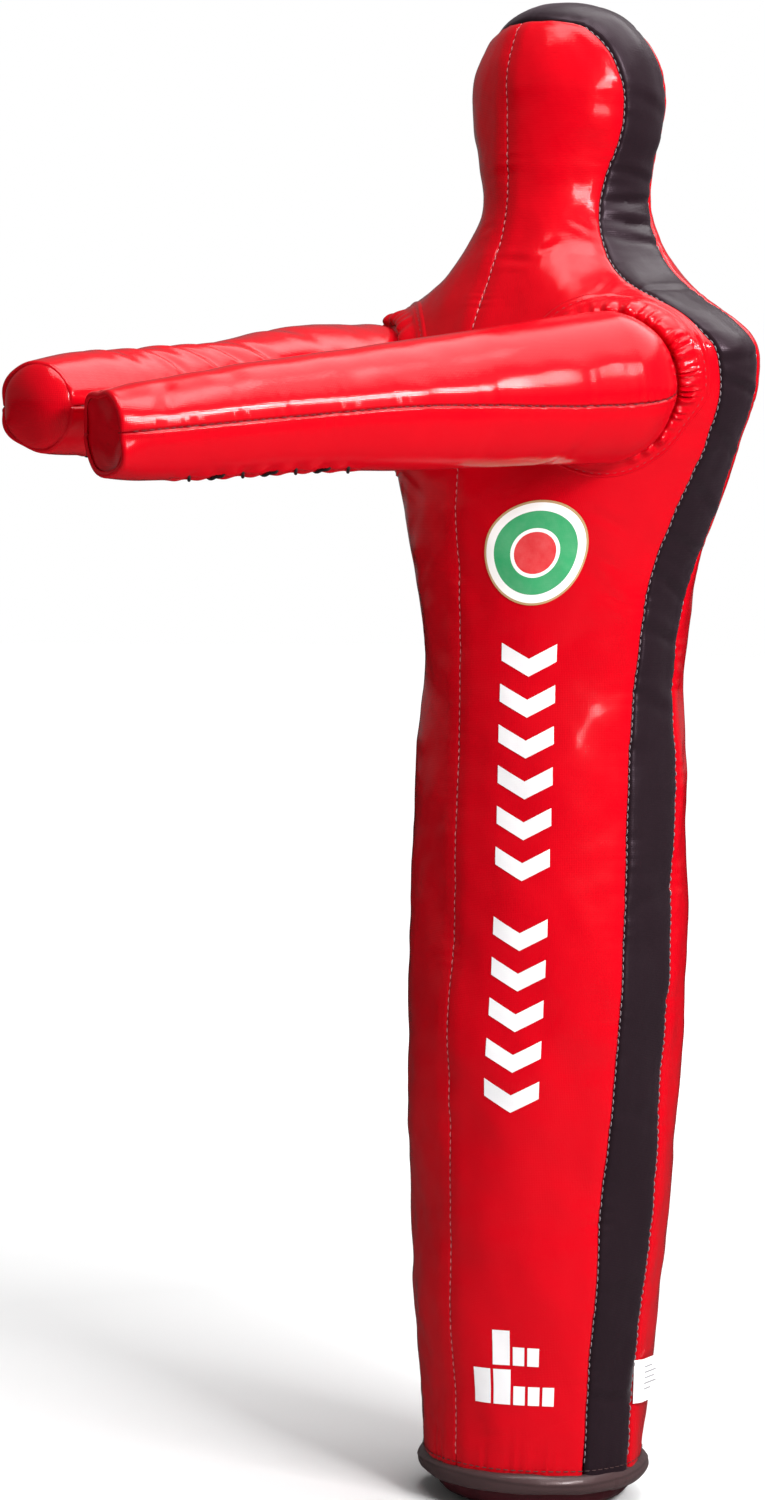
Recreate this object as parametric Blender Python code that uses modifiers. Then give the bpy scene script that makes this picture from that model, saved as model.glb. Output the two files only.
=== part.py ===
"""Stuffed throwing dummy without legs: a sewn trunk and head, and two arms that reach forward.

Metres, +Z up. The front faces -Y and the dummy's left arm is at +X. The origin is the centre of
the flat base. A body section is an ellipse; its angle runs from the side (0) to the front (90)
and to the back (-90).
"""

import math

import bpy
import numpy as np
from mathutils import Matrix, Vector

# Driving dimensions, in metres and degrees.
HEIGHT = 1.0
COVER = 0.0016  # thickness of the coated fabric
SEAM_GAP = 0.0007  # half of the gap left along a seam
FILLING_DEPTH = 0.0032  # from the outer face of the cover to the filling
HEAD_FILLING_DEPTH = 0.0030
# Height, half width and half depth of the trunk, neck and head.
BODY = [
    (0.012, 0.0740, 0.0740), (0.065, 0.0775, 0.0765), (0.140, 0.0825, 0.0815), (0.220, 0.0890, 0.0870),
    (0.320, 0.0955, 0.0905), (0.400, 0.0960, 0.0900), (0.480, 0.0915, 0.0885), (0.560, 0.0890, 0.0890),
    (0.620, 0.0970, 0.0925), (0.670, 0.1170, 0.0940), (0.710, 0.1380, 0.0930), (0.750, 0.1550, 0.0900),
    (0.772, 0.1560, 0.0865), (0.790, 0.1370, 0.0810), (0.805, 0.1100, 0.0760), (0.820, 0.0830, 0.0700),
    (0.838, 0.0650, 0.0615), (0.862, 0.0552, 0.0552), (0.890, 0.0585, 0.0560), (0.912, 0.0640, 0.0585),
    (0.936, 0.0670, 0.0595),
]
HEAD_WIDEST = 0.936
CROWN_POWER = 2.2
# Height and section angle of the front and rear edges of the dark side strip.
FRONT_EDGE = [
    (0.030, 19.5), (0.140, 19.5), (0.270, 17.5), (0.400, 14.5), (0.475, 12.5), (0.540, 10), (0.605, 7.5),
    (0.690, 4), (0.735, 6), (0.770, 14), (0.800, 24), (0.820, 24), (0.845, 23), (0.866, 20.5), (0.886, 16.5),
    (0.899, 13), (0.915, 11.8), (0.930, 13), (0.947, 18), (0.956, 21.5), (0.9645, 27), (0.971, 33),
    (0.9785, 48), (0.9812, 70),
]
REAR_EDGE = [
    (0.030, -11.5), (0.140, -12), (0.270, -12.5), (0.343, -13.5), (0.400, -16), (0.474, -18.5), (0.540, -20),
    (0.606, -23), (0.655, -27.5), (0.700, -26.5), (0.735, -21), (0.770, -16), (0.800, -14), (0.820, -19),
    (0.845, -26), (0.869, -36), (0.890, -40), (0.940, -38), (0.970, -34), (0.985, -32), (0.992, -38),
    (0.996, -50), (0.9975, -70),
]
CROWN_FRONT = 0.9830  # height where the strip's front edge crosses the middle
CROWN_REAR = 0.9985
CROWN_GAP = 0.0009  # the seams run nearly level on the crown, so their gap is upwards there
CROWN_GAP_START = 0.955
CROWN_GAP_RISE = 0.025
TRUNK_BOTTOM = 0.030
TRUNK_LEVELS = [
    TRUNK_BOTTOM, 0.08, 0.14, 0.22, 0.30, 0.38, 0.46, 0.54, 0.60, 0.64, 0.675, 0.705, 0.73, 0.752,
    0.768, 0.78, 0.792, 0.804, 0.816, 0.827, 0.838,
]
FACE_LEVELS = [0.862, 0.876, 0.89, 0.905, 0.92, 0.934, 0.947, 0.957, 0.966, 0.9735, 0.9788, 0.9812]
BACK_LEVELS = [0.862, 0.876, 0.89, 0.905, 0.92, 0.936, 0.952, 0.968, 0.980, 0.988, 0.9940, 0.9975]
PANEL_COLUMNS = 6
STRIP_COLUMNS = 3

# Neck joint: the head ends in a ball that sits in a dish in the trunk.
NECK = 0.862
NECK_BALL = 0.0552
NECK_DISH = 0.0560
NECK_LOW = 115  # the head's cover ends at this angle from the crown direction

# Base.
BINDING_HEIGHT = 0.0215
BINDING_RADIUS = 0.0715
BINDING_TUBE = 0.0070
BASE_FLAT = 0.0580
BASE_RADIUS = 0.0640
BASE_RIM = 0.0165

# Arms. The root is where an arm's axis leaves the chest, and the pivot is further along it.
ARM_ROOT = (0.112, -0.062, 0.742)
ARM_YAW = 13  # inward
ARM_DROOP = {1: 7.1, -1: 4.5}  # the left arm (1) hangs a little lower than the right (-1)
PIVOT_DISTANCE = 0.036
STUMP_RADIUS = 0.0500
STUMP_LENGTH = 0.013
BALL = 0.0480
DISH = 0.0504
BALL_END = 150  # angle of the cover's rear edge from the arm's direction
TUBE_START = 78
GATHERS = (122, 152)
GATHERS_OUTER = 0.0500
# Distance from the pivot and radius of the sleeve.
SLEEVE = [
    (0.020, 0.0462), (0.060, 0.0440), (0.110, 0.0402), (0.160, 0.0368), (0.250, 0.0325), (0.310, 0.0295),
    (0.330, 0.0272),
]
CAP_RADIUS = 0.0264
CAP_BULGE = 0.0040
# The laced opening under each sleeve.
LACE_START = 0.174
LACE_PITCH = 0.018
LACE_CROSSINGS = 7
LACE_RADIUS = 0.0012
LACE_HALF_WIDTH = 0.0065
LACE_LIFT = 0.0012
SLIT_WIDTH = 0.004

# Badge and label.
BADGE = (57, 0.6345)  # section angle and height of its centre
BADGE_RADIUS = 0.034
BADGE_EDGE = 0.985  # the share of its radius that its outermost rows reach
BADGE_LIFT = 0.0012
BADGE_THICKNESS = 0.0005
LABEL = (0.024, 0.0008, 0.029)
LABEL_HEIGHT = 0.085

RED = (0.72, 0.004, 0.014)
DARK = (0.022, 0.017, 0.020)
BROWN = (0.060, 0.040, 0.036)
MAROON = (0.050, 0.008, 0.010)
TEXTILE = (0.42, 0.38, 0.33)
WHITE = (0.86, 0.86, 0.84)
GREEN = (0.02, 0.30, 0.12)


def clear_scene():
    for found in list(bpy.data.objects):
        bpy.data.objects.remove(found)


def make_collection(name, cutters=False):
    made = bpy.data.collections.new(name)
    bpy.context.scene.collection.children.link(made)
    made.hide_render = cutters
    return made


def make_material(name, color, roughness, metallic=0.0):
    made = bpy.data.materials.new(name)
    made.use_nodes = True
    shader = made.node_tree.nodes["Principled BSDF"]
    shader.inputs["Base Color"].default_value = (*color, 1)
    shader.inputs["Roughness"].default_value = roughness
    shader.inputs["Metallic"].default_value = metallic
    made.diffuse_color = (*color, 1)
    return made


def smooth(stations, at, column):
    """A cubic curve through one column of the stations."""
    table = np.array(stations, float)
    x = table[:, 0]
    y = table[:, column]
    steps = np.diff(y) / np.diff(x)
    slope = np.concatenate([[steps[0]], (steps[1:] + steps[:-1]) / 2, [steps[-1]]])
    i = int(np.clip(np.searchsorted(x, at) - 1, 0, len(x) - 2))
    width = x[i + 1] - x[i]
    u = float(np.clip((at - x[i]) / width, 0, 1))
    start = y[i] * (1 + 2 * u) * (1 - u) ** 2 + slope[i] * width * u * (1 - u) ** 2
    return start + y[i + 1] * u * u * (3 - 2 * u) + slope[i + 1] * width * u * u * (u - 1)


def section(z):
    """Half width and half depth of the body at a height."""
    if z <= HEAD_WIDEST:
        return smooth(BODY, z, 1), smooth(BODY, z, 2)
    up = min((z - HEAD_WIDEST) / (HEIGHT - HEAD_WIDEST), 1)
    shrink = (1 - up ** CROWN_POWER) ** (1 / CROWN_POWER)
    return BODY[-1][1] * shrink, BODY[-1][2] * shrink


def inner_section(z, depth):
    """The section of the surface that lies this deep under the cover's outer face."""
    step = 0.002
    low = section(z - step)
    high = section(min(z + step, HEIGHT))
    span = min(z + step, HEIGHT) - (z - step)
    return [r - depth * math.hypot(1, (h - w) / span) for r, w, h in zip(section(z), low, high)]


def surface(z, angle, lift=0.0):
    a, b = section(z)
    t = math.radians(angle)
    normal = Vector((math.cos(t) / a, -math.sin(t) / b, 0)).normalized()
    return Vector((a * math.cos(t), -b * math.sin(t), z)) + normal * lift


def trimmed(z, angle, distance):
    """The section angle moved along the surface by a distance."""
    a, b = section(z)
    t = math.radians(angle)
    return angle + math.degrees(distance / math.hypot(a * math.sin(t), b * math.cos(t)))


def front_edge(z):
    return smooth(FRONT_EDGE, z, 1)


def rear_edge(z):
    return smooth(REAR_EDGE, z, 1)


def new_object(name, mesh, material, parent=None, collection="body opponent mannequin"):
    made = bpy.data.objects.new(name, mesh)
    bpy.data.collections[collection].objects.link(made)
    if material:
        mesh.materials.append(material)
    made.parent = parent
    return made


def smooth_shade(mesh, angle=40):
    mesh.shade_smooth()
    mesh.set_sharp_from_angle(angle=math.radians(angle))


def grid_mesh(name, rows):
    """A sheet of faces between rows of points."""
    rows = [[tuple(p) for p in row] for row in rows]
    columns = len(rows[0])
    faces = []
    for i in range(len(rows) - 1):
        for j in range(columns - 1):
            k = i * columns + j
            faces.append((k, k + 1, k + columns + 1, k + columns))
    mesh = bpy.data.meshes.new(name)
    mesh.from_pydata([p for row in rows for p in row], [], faces)
    mesh.update()
    smooth_shade(mesh)
    return mesh


def lofted_mesh(name, rings):
    """A closed body through rings of points, counted upwards."""
    rings = [[tuple(p) for p in ring] for ring in rings]
    count = len(rings[0])
    faces = [tuple(reversed(range(count)))]
    for i in range(len(rings) - 1):
        for j in range(count):
            k = i * count
            n = (j + 1) % count
            faces.append((k + j, k + n, k + count + n, k + count + j))
    top = (len(rings) - 1) * count
    faces.append(tuple(range(top, top + count)))
    mesh = bpy.data.meshes.new(name)
    mesh.from_pydata([p for ring in rings for p in ring], [], faces)
    mesh.update()
    smooth_shade(mesh)
    return mesh


def solidify(obj, thickness=COVER):
    made = obj.modifiers.new("thickness", "SOLIDIFY")
    made.thickness = thickness
    made.offset = -1
    made.use_even_offset = True


def boolean(obj, cutter, operation="DIFFERENCE"):
    made = obj.modifiers.new(operation.lower(), "BOOLEAN")
    made.operation = operation
    made.object = cutter
    made.solver = "EXACT"


def mirrored(rows, side):
    """The rows for the left side (1) or, turned over, for the right side (-1)."""
    if side > 0:
        return rows
    return [[Vector((-p.x, p.y, p.z)) for p in reversed(row)] for row in rows]


def panel_rows(levels, low_edge, high_edge, columns, side):
    """A panel between two edges, given as functions of height, on one side of the body."""
    rows = []
    for z in levels:
        start = trimmed(z, low_edge(z), SEAM_GAP)
        end = trimmed(z, high_edge(z), -SEAM_GAP)
        rows.append([surface(z, angle) for angle in np.linspace(end, start, columns + 1)])
    return mirrored(rows, side)


def neck_row(start, end, columns, side, bend):
    """A row on the head's ball below the neck's axis."""
    down = math.radians(bend)
    row = []
    for angle in np.linspace(end, start, columns + 1):
        t = math.radians(angle)
        reach = NECK_BALL * math.sin(down)
        row.append(Vector((reach * math.cos(t), -reach * math.sin(t), NECK + NECK_BALL * math.cos(down))))
    return mirrored([row], side)[0]


def make_trunk_cover(red, dark):
    for side, word in ((1, "left"), (-1, "right")):
        panels = (
            (f"front_panel_{word}", front_edge, lambda z: 90, PANEL_COLUMNS, red),
            (f"side_strip_{word}", rear_edge, front_edge, STRIP_COLUMNS, dark),
            (f"back_panel_{word}", lambda z: -90, rear_edge, PANEL_COLUMNS, red),
        )
        for name, low, high, columns, material in panels:
            rows = panel_rows(TRUNK_LEVELS, low, high, columns, side)
            solidify(new_object(name, grid_mesh(name, rows), material))


def make_head_panels(red, pivot):
    place = Matrix.Translation((0, 0, -NECK))
    for side, word in ((1, "left"), (-1, "right")):
        panels = (
            (f"face_panel_{word}", FACE_LEVELS, front_edge, lambda z: 90),
            (f"head_back_panel_{word}", BACK_LEVELS, lambda z: -90, rear_edge),
        )
        for name, levels, low, high in panels:
            rows = panel_rows(levels, low, high, PANEL_COLUMNS, side)
            start = trimmed(NECK, low(NECK), SEAM_GAP)
            end = trimmed(NECK, high(NECK), -SEAM_GAP)
            for bend in (102, NECK_LOW):
                rows.insert(0, neck_row(start, end, PANEL_COLUMNS, side, bend))
            mesh = grid_mesh(name, rows)
            mesh.transform(place)
            solidify(new_object(name, mesh, red, pivot))


def on_body(point, axis_height):
    """The point of the surface in the direction of a point, seen from a height on the axis."""
    base = Vector((0, 0, axis_height))
    way = point - base
    low = 0.3
    high = 3.0
    for _ in range(40):
        k = (low + high) / 2
        at = base + way * k
        a, b = section(min(at.z, HEIGHT))
        outside = at.z >= HEIGHT or (at.x / a) ** 2 + (at.y / b) ** 2 > 1
        if outside:
            high = k
        else:
            low = k
    return base + way * low


def crown_rows():
    """The strip's rows from the left side of the neck to the middle of the crown."""
    rows = []
    for front_z, rear_z in zip(FACE_LEVELS, BACK_LEVELS):
        front_gap = CROWN_GAP * min(max((front_z - CROWN_GAP_START) / CROWN_GAP_RISE, 0), 1)
        rear_gap = CROWN_GAP * min(max((rear_z - CROWN_GAP_START) / CROWN_GAP_RISE, 0), 1)
        front = surface(front_z + front_gap, trimmed(front_z, front_edge(front_z), -SEAM_GAP))
        rear = surface(rear_z + rear_gap, trimmed(rear_z, rear_edge(rear_z), SEAM_GAP))
        rows.append((front, rear))
    front = surface(CROWN_FRONT, 90)
    rear = surface(CROWN_REAR, -90)
    rows.append((Vector((0, front.y, front.z)), Vector((0, rear.y, rear.z))))
    made = []
    for front, rear in rows:
        axis_height = min(front.z, 0.93)
        row = [front.lerp(rear, j / STRIP_COLUMNS) for j in range(STRIP_COLUMNS + 1)]
        made.append([front, *(on_body(p, axis_height) for p in row[1:-1]), rear])
    return made


def make_head_strip(dark, pivot):
    start = trimmed(NECK, rear_edge(NECK), SEAM_GAP)
    end = trimmed(NECK, front_edge(NECK), -SEAM_GAP)
    left = crown_rows()
    for bend in (102, NECK_LOW):
        left.insert(0, neck_row(start, end, STRIP_COLUMNS, 1, bend))
    right = [[Vector((-p.x, p.y, p.z)) for p in row] for row in reversed(left[:-1])]
    mesh = grid_mesh("head_strip", left + right)
    mesh.transform(Matrix.Translation((0, 0, -NECK)))
    solidify(new_object("head_strip", mesh, dark, pivot))


def ring_angles(z):
    """Section angles round the whole body at the columns of the panels."""
    front = np.linspace(90, front_edge(z), PANEL_COLUMNS + 1)[:-1]
    strip = np.linspace(front_edge(z), rear_edge(z), STRIP_COLUMNS + 1)[:-1]
    back = np.linspace(rear_edge(z), -90, PANEL_COLUMNS + 1)[:-1]
    half = np.concatenate([front, strip, back])
    return np.concatenate([half, [-90], 180 - half[:0:-1]])


def filling_ring(z, angles, a, b):
    return [Vector((a * math.cos(t), -b * math.sin(t), z)) for t in np.radians(angles)]


def trunk_core(name, depth, material, collection):
    """The trunk's shape at a depth under the cover's outer face."""
    angles = ring_angles(TRUNK_BOTTOM)
    foot = BASE_RADIUS - COVER - 0.0006
    rings = [
        filling_ring(COVER + 0.0006, angles, BASE_FLAT - 0.001, BASE_FLAT - 0.001),
        filling_ring(0.006, angles, foot, foot),
        filling_ring(TRUNK_BOTTOM, angles, foot, foot),
    ]
    rings.append(filling_ring(TRUNK_BOTTOM + 0.001, angles, *inner_section(TRUNK_BOTTOM, depth)))
    for z in TRUNK_LEVELS[1:]:
        rings.append(filling_ring(z, ring_angles(z), *inner_section(z, depth)))
    return new_object(name, lofted_mesh(name, rings), material, None, collection)


def sphere(name, radius, place, segments=32):
    """A ball as a cutter, with a pole along its own Z."""
    bpy.ops.mesh.primitive_uv_sphere_add(segments=segments, ring_count=segments // 2, radius=radius)
    made = bpy.context.object
    made.name = name
    made.matrix_world = place
    return as_cutter(made)


def as_cutter(obj):
    for found in list(obj.users_collection):
        found.objects.unlink(obj)
    bpy.data.collections["cutters"].objects.link(obj)
    obj.hide_render = True
    obj.display_type = "WIRE"
    return obj


def arm_direction(side):
    yaw = math.radians(ARM_YAW)
    droop = math.radians(ARM_DROOP[side])
    flat = Vector((-side * math.sin(yaw), -math.cos(yaw), 0))
    return flat * math.cos(droop) - Vector((0, 0, math.sin(droop)))


def arm_frame(side, distance):
    """A frame on the arm's axis: its Z runs along the arm and its Y upwards."""
    along = arm_direction(side)
    up = (Vector((0, 0, 1)) - along * along.z).normalized()
    turn = Matrix((up.cross(along), up, along)).transposed().to_4x4()
    root = Vector((side * ARM_ROOT[0], ARM_ROOT[1], ARM_ROOT[2]))
    return Matrix.Translation(root + along * distance) @ turn


def make_empty(name, matrix, collection="body opponent mannequin"):
    made = bpy.data.objects.new(name, None)
    bpy.data.collections[collection].objects.link(made)
    made.empty_display_size = 0.03
    made.matrix_world = matrix
    return made


def turned(name, profile, material, parent, start=0, sweep=360, steps=24):
    """A profile of (radius, height) pairs, top to bottom, turned about the parent's Z axis."""
    mesh = bpy.data.meshes.new(name)
    edges = [(i, i + 1) for i in range(len(profile) - 1)]
    points = [Matrix.Rotation(math.radians(start), 3, "Z") @ Vector((r, 0, h)) for r, h in profile]
    mesh.from_pydata(points, edges, [])
    made = new_object(name, mesh, material, parent)
    screw = made.modifiers.new("turn", "SCREW")
    screw.angle = math.radians(sweep)
    screw.steps = steps
    screw.render_steps = steps
    screw.use_smooth_shade = True
    screw.use_merge_vertices = sweep == 360
    screw.merge_threshold = 0.00005
    return made


def ball_arc(radius, start, end, count):
    """Points on a ball, by their angle from the arm's direction."""
    return [(radius * math.sin(t), radius * math.cos(t)) for t in np.radians(np.linspace(start, end, count))]


def sleeve_profile(depth=0.0):
    """The sleeve from its end to its ball, at a depth under its outer face."""
    tube = [(radius - depth, height) for height, radius in reversed(SLEEVE)]
    return tube + ball_arc(BALL - depth, TUBE_START, BALL_END, 6)


def make_sleeve(word, pivot, red):
    gap = math.degrees(SEAM_GAP / SLEEVE[-1][1])
    upper = turned(f"arm_upper_panel_{word}", sleeve_profile(), red, pivot, gap, 180 - 2 * gap, 10)
    lower = turned(f"arm_lower_panel_{word}", sleeve_profile(), red, pivot, 180 + gap, 180 - 2 * gap, 10)
    solidify(upper)
    solidify(lower)
    length = LACE_PITCH * (LACE_CROSSINGS - 1)
    bpy.ops.mesh.primitive_cube_add(size=1)
    slit = bpy.context.object
    slit.name = f"slit_cutter_{word}"
    slit.scale = (SLIT_WIDTH, 0.06, length)
    middle = Matrix.Translation((0, -0.03, LACE_START + length / 2))
    slit.matrix_world = pivot.matrix_world @ middle @ Matrix.Diagonal((*slit.scale, 1))
    boolean(lower, as_cutter(slit))


def make_arm_filling(word, pivot, textile):
    profile = sleeve_profile(FILLING_DEPTH)
    front = SLEEVE[-1][0] - 0.0003
    profile = [(0, front)] + [(profile[0][0], front)] + profile[1:]
    profile.append((0, -(BALL - FILLING_DEPTH)))
    turned(f"arm_filling_{word}", profile, textile, pivot, steps=20)


def make_arm_cap(word, pivot, red):
    base = SLEEVE[-1][0] + 0.0003
    profile = [
        (0, base + CAP_BULGE), (CAP_RADIUS * 0.6, base + CAP_BULGE), (CAP_RADIUS, base + 0.0022),
        (CAP_RADIUS, base), (0, base),
    ]
    turned(f"arm_end_cap_{word}", profile, red, pivot, steps=20)


def make_arm_lace(word, pivot, dark):
    """A lace that zigzags over the slit under the sleeve."""
    curve = bpy.data.curves.new(f"lace_{word}", "CURVE")
    curve.dimensions = "3D"
    curve.bevel_depth = LACE_RADIUS
    curve.bevel_resolution = 2
    curve.use_fill_caps = True
    points = []
    for i in range(LACE_CROSSINGS):
        for sign in (-1, 1):
            height = LACE_START + LACE_PITCH * (i + 0.35 * (sign > 0)) - 0.004
            radius = smooth(SLEEVE, height, 1) + LACE_RADIUS + LACE_LIFT
            turn = sign * (-1) ** i * LACE_HALF_WIDTH / radius
            points.append((radius * math.sin(turn), -radius * math.cos(turn), height))
    spline = curve.splines.new("POLY")
    spline.points.add(len(points) - 1)
    for at, p in zip(spline.points, points):
        at.co = (*p, 1)
    made = bpy.data.objects.new(f"arm_lace_{word}", curve)
    bpy.data.collections["body opponent mannequin"].objects.link(made)
    curve.materials.append(dark)
    made.parent = pivot


def make_gathers(word, root, red):
    """The gathered end of the sleeve, a part of a ball that turns in the dish."""
    gathers = turned(f"arm_root_gathers_{word}", ball_arc(GATHERS_OUTER, *GATHERS, 4), red, root, steps=24)
    solidify(gathers, GATHERS_OUTER - BALL - 0.0004)


def make_shoulder_ring(word, shoulder, red, core):
    """The ring of cover round the stump, which ends where it meets the trunk's filling."""
    profile = [(STUMP_RADIUS, STUMP_LENGTH), *ball_arc(STUMP_RADIUS, 90, 135, 6)]
    ring = turned(f"shoulder_ring_{word}", profile, red, shoulder, steps=24)
    solidify(ring)
    boolean(ring, core)


def make_base(dark, maroon):
    turned("bottom_panel", [
        (BASE_RADIUS, BASE_RIM), (BASE_RADIUS, 0.006), (BASE_RADIUS - 0.002, 0.002), (BASE_FLAT, 0), (0, 0),
        (0, COVER), (BASE_FLAT - 0.0005, COVER), (BASE_RADIUS - COVER - 0.001, 0.0035),
        (BASE_RADIUS - COVER, 0.006), (BASE_RADIUS - COVER, BASE_RIM), (BASE_RADIUS, BASE_RIM),
    ], maroon, None, steps=32)
    bpy.ops.mesh.primitive_torus_add(
        major_radius=BINDING_RADIUS, minor_radius=BINDING_TUBE, major_segments=36, minor_segments=8,
        location=(0, 0, BINDING_HEIGHT),
    )
    binding = bpy.context.object
    binding.name = "bottom_binding"
    for found in list(binding.users_collection):
        found.objects.unlink(binding)
    bpy.data.collections["body opponent mannequin"].objects.link(binding)
    binding.data.materials.append(dark)
    smooth_shade(binding.data, 80)


def make_badge(material):
    angle, height = BADGE
    a, b = section(height)
    t = math.radians(angle)
    rate = math.degrees(1 / math.hypot(a * math.sin(t), b * math.cos(t)))
    rows = []
    for v in BADGE_RADIUS * np.linspace(-BADGE_EDGE, BADGE_EDGE, 9):
        half = math.sqrt(BADGE_RADIUS ** 2 - v ** 2)
        rows.append([surface(height + v, angle - h * rate, BADGE_LIFT) for h in np.linspace(-half, half, 7)])
    badge = new_object("chest_badge", grid_mesh("chest_badge", rows), material)
    solidify(badge, BADGE_THICKNESS)


def make_label(material):
    """The folded label sewn in the strip's rear seam on the left side."""
    edge = rear_edge(LABEL_HEIGHT)
    corner = surface(LABEL_HEIGHT, edge, 0.0012)
    along = (surface(LABEL_HEIGHT, edge - 14) - surface(LABEL_HEIGHT, edge)).normalized()
    out = Vector((along.y, -along.x, 0))
    reach = (along + out * 0.35).normalized()
    side = Vector((reach.y, -reach.x, 0))
    bpy.ops.mesh.primitive_cube_add(size=1)
    label = bpy.context.object
    label.name = "care_label"
    for vertex in label.data.vertices:
        vertex.co = Vector((vertex.co.x * LABEL[0], vertex.co.y * LABEL[1], vertex.co.z * LABEL[2]))
    turn = Matrix((reach, side, Vector((0, 0, 1)))).transposed().to_4x4()
    middle = corner + reach * LABEL[0] / 2 + side * 0.0008
    label.matrix_world = Matrix.Translation(middle) @ turn
    for found in list(label.users_collection):
        found.objects.unlink(label)
    bpy.data.collections["body opponent mannequin"].objects.link(label)
    label.data.materials.append(material)
    bevel = label.modifiers.new("rounded", "BEVEL")
    bevel.width = 0.0002
    bevel.segments = 1


def make_stump(word, shoulder):
    """The filling's stump under the shoulder ring, as a cutter."""
    radius = STUMP_RADIUS - COVER - 0.0004
    profile = [(0, STUMP_LENGTH), (radius, STUMP_LENGTH), *ball_arc(radius, 90, 180, 11)]
    return as_cutter(turned(f"stump_{word}", profile, None, shoulder, steps=24))


def make_hole(word, shoulder):
    """The room that the shoulder ring and the arm's ball need in the front panel, as a cutter."""
    radius = STUMP_RADIUS + 0.0004
    front = [(r, h + PIVOT_DISTANCE) for r, h in ball_arc(DISH + 0.0004, 0, 90, 9)]
    profile = [*front, *ball_arc(radius, 90, 180, 11)]
    return as_cutter(turned(f"hole_{word}", profile, None, shoulder, steps=24))


def make_arms(red, dark, textile, ring_core):
    """Both arms, and the cutters that their shoulders need in the trunk."""
    for side, word in ((1, "left"), (-1, "right")):
        shoulder = make_empty(f"{word}_shoulder", arm_frame(side, 0))
        root = make_empty(f"{word}_arm_root", arm_frame(side, PIVOT_DISTANCE))
        pivot = make_empty(f"{word}_arm_pivot", arm_frame(side, PIVOT_DISTANCE))
        bpy.context.view_layer.update()
        make_sleeve(word, pivot, red)
        make_arm_filling(word, pivot, textile)
        make_arm_cap(word, pivot, red)
        make_arm_lace(word, pivot, dark)
        make_gathers(word, root, red)
        make_shoulder_ring(word, shoulder, red, ring_core)
        filling = bpy.data.objects["torso_filling"]
        boolean(filling, make_stump(word, shoulder), "UNION")
        dish = sphere(f"dish_{word}", DISH, arm_frame(side, PIVOT_DISTANCE))
        boolean(filling, dish)
        boolean(bpy.data.objects[f"shoulder_ring_{word}"], dish)
        boolean(bpy.data.objects[f"front_panel_{word}"], make_hole(word, shoulder))


def make_head_filling(textile, pivot):
    angles = ring_angles(NECK)
    rings = []
    for bend in (165, 150, 135, 120, 105):
        reach = (NECK_BALL - HEAD_FILLING_DEPTH) * math.sin(math.radians(bend))
        z = NECK + (NECK_BALL - HEAD_FILLING_DEPTH) * math.cos(math.radians(bend))
        rings.append(filling_ring(z, angles, reach, reach))
    for z in FACE_LEVELS[:-3]:
        rings.append(filling_ring(z, angles, *inner_section(z, HEAD_FILLING_DEPTH)))
    for bend in (42, 28, 12):
        a, b = (r - HEAD_FILLING_DEPTH for r in BODY[-1][1:])
        up = HEIGHT - HEAD_WIDEST - HEAD_FILLING_DEPTH
        rise = math.cos(math.radians(bend)) ** (2 / CROWN_POWER)
        reach = math.sin(math.radians(bend)) ** (2 / CROWN_POWER)
        rings.append(filling_ring(HEAD_WIDEST + up * rise, angles, a * reach, b * reach))
    mesh = lofted_mesh("head_filling", rings)
    mesh.transform(Matrix.Translation((0, 0, -NECK)))
    new_object("head_filling", mesh, textile, pivot)


def main():
    clear_scene()
    make_collection("body opponent mannequin")
    make_collection("cutters", cutters=True)
    red = make_material("red coated fabric", RED, 0.22)
    dark = make_material("dark coated fabric", DARK, 0.42)
    brown = make_material("brown binding", BROWN, 0.5)
    maroon = make_material("maroon base fabric", MAROON, 0.5)
    textile = make_material("textile filling", TEXTILE, 0.9)
    badge = make_material("badge print", GREEN, 0.4)
    white = make_material("label fabric", WHITE, 0.8)

    make_trunk_cover(red, dark)
    neck = make_empty("neck_pivot", Matrix.Translation((0, 0, NECK)))
    make_head_panels(red, neck)
    make_head_strip(dark, neck)
    make_head_filling(textile, neck)
    make_base(brown, maroon)
    make_badge(badge)
    make_label(white)

    filling = trunk_core("torso_filling", FILLING_DEPTH, textile, "body opponent mannequin")
    ring_core = trunk_core("ring_cutter", FILLING_DEPTH - 0.0004, None, "cutters")
    as_cutter(ring_core)
    make_arms(red, dark, textile, ring_core)
    boolean(filling, sphere("neck_dish", NECK_DISH, Matrix.Translation((0, 0, NECK)), 40))


main()
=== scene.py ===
"""Looks of the legless throwing dummy: sewn covers, seams, prints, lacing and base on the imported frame.

Metres, +Z up. The front faces -Y and the dummy's left arm is at +X. A body section is an ellipse; its
angle runs from the side (0) to the front (90) and to the back (-90). Surfaces are numpy grids of points,
rows by columns. Shapes are worked out for the left side and mirrored.
"""

import math

import bpy
import numpy as np
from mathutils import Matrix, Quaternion, Vector


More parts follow.
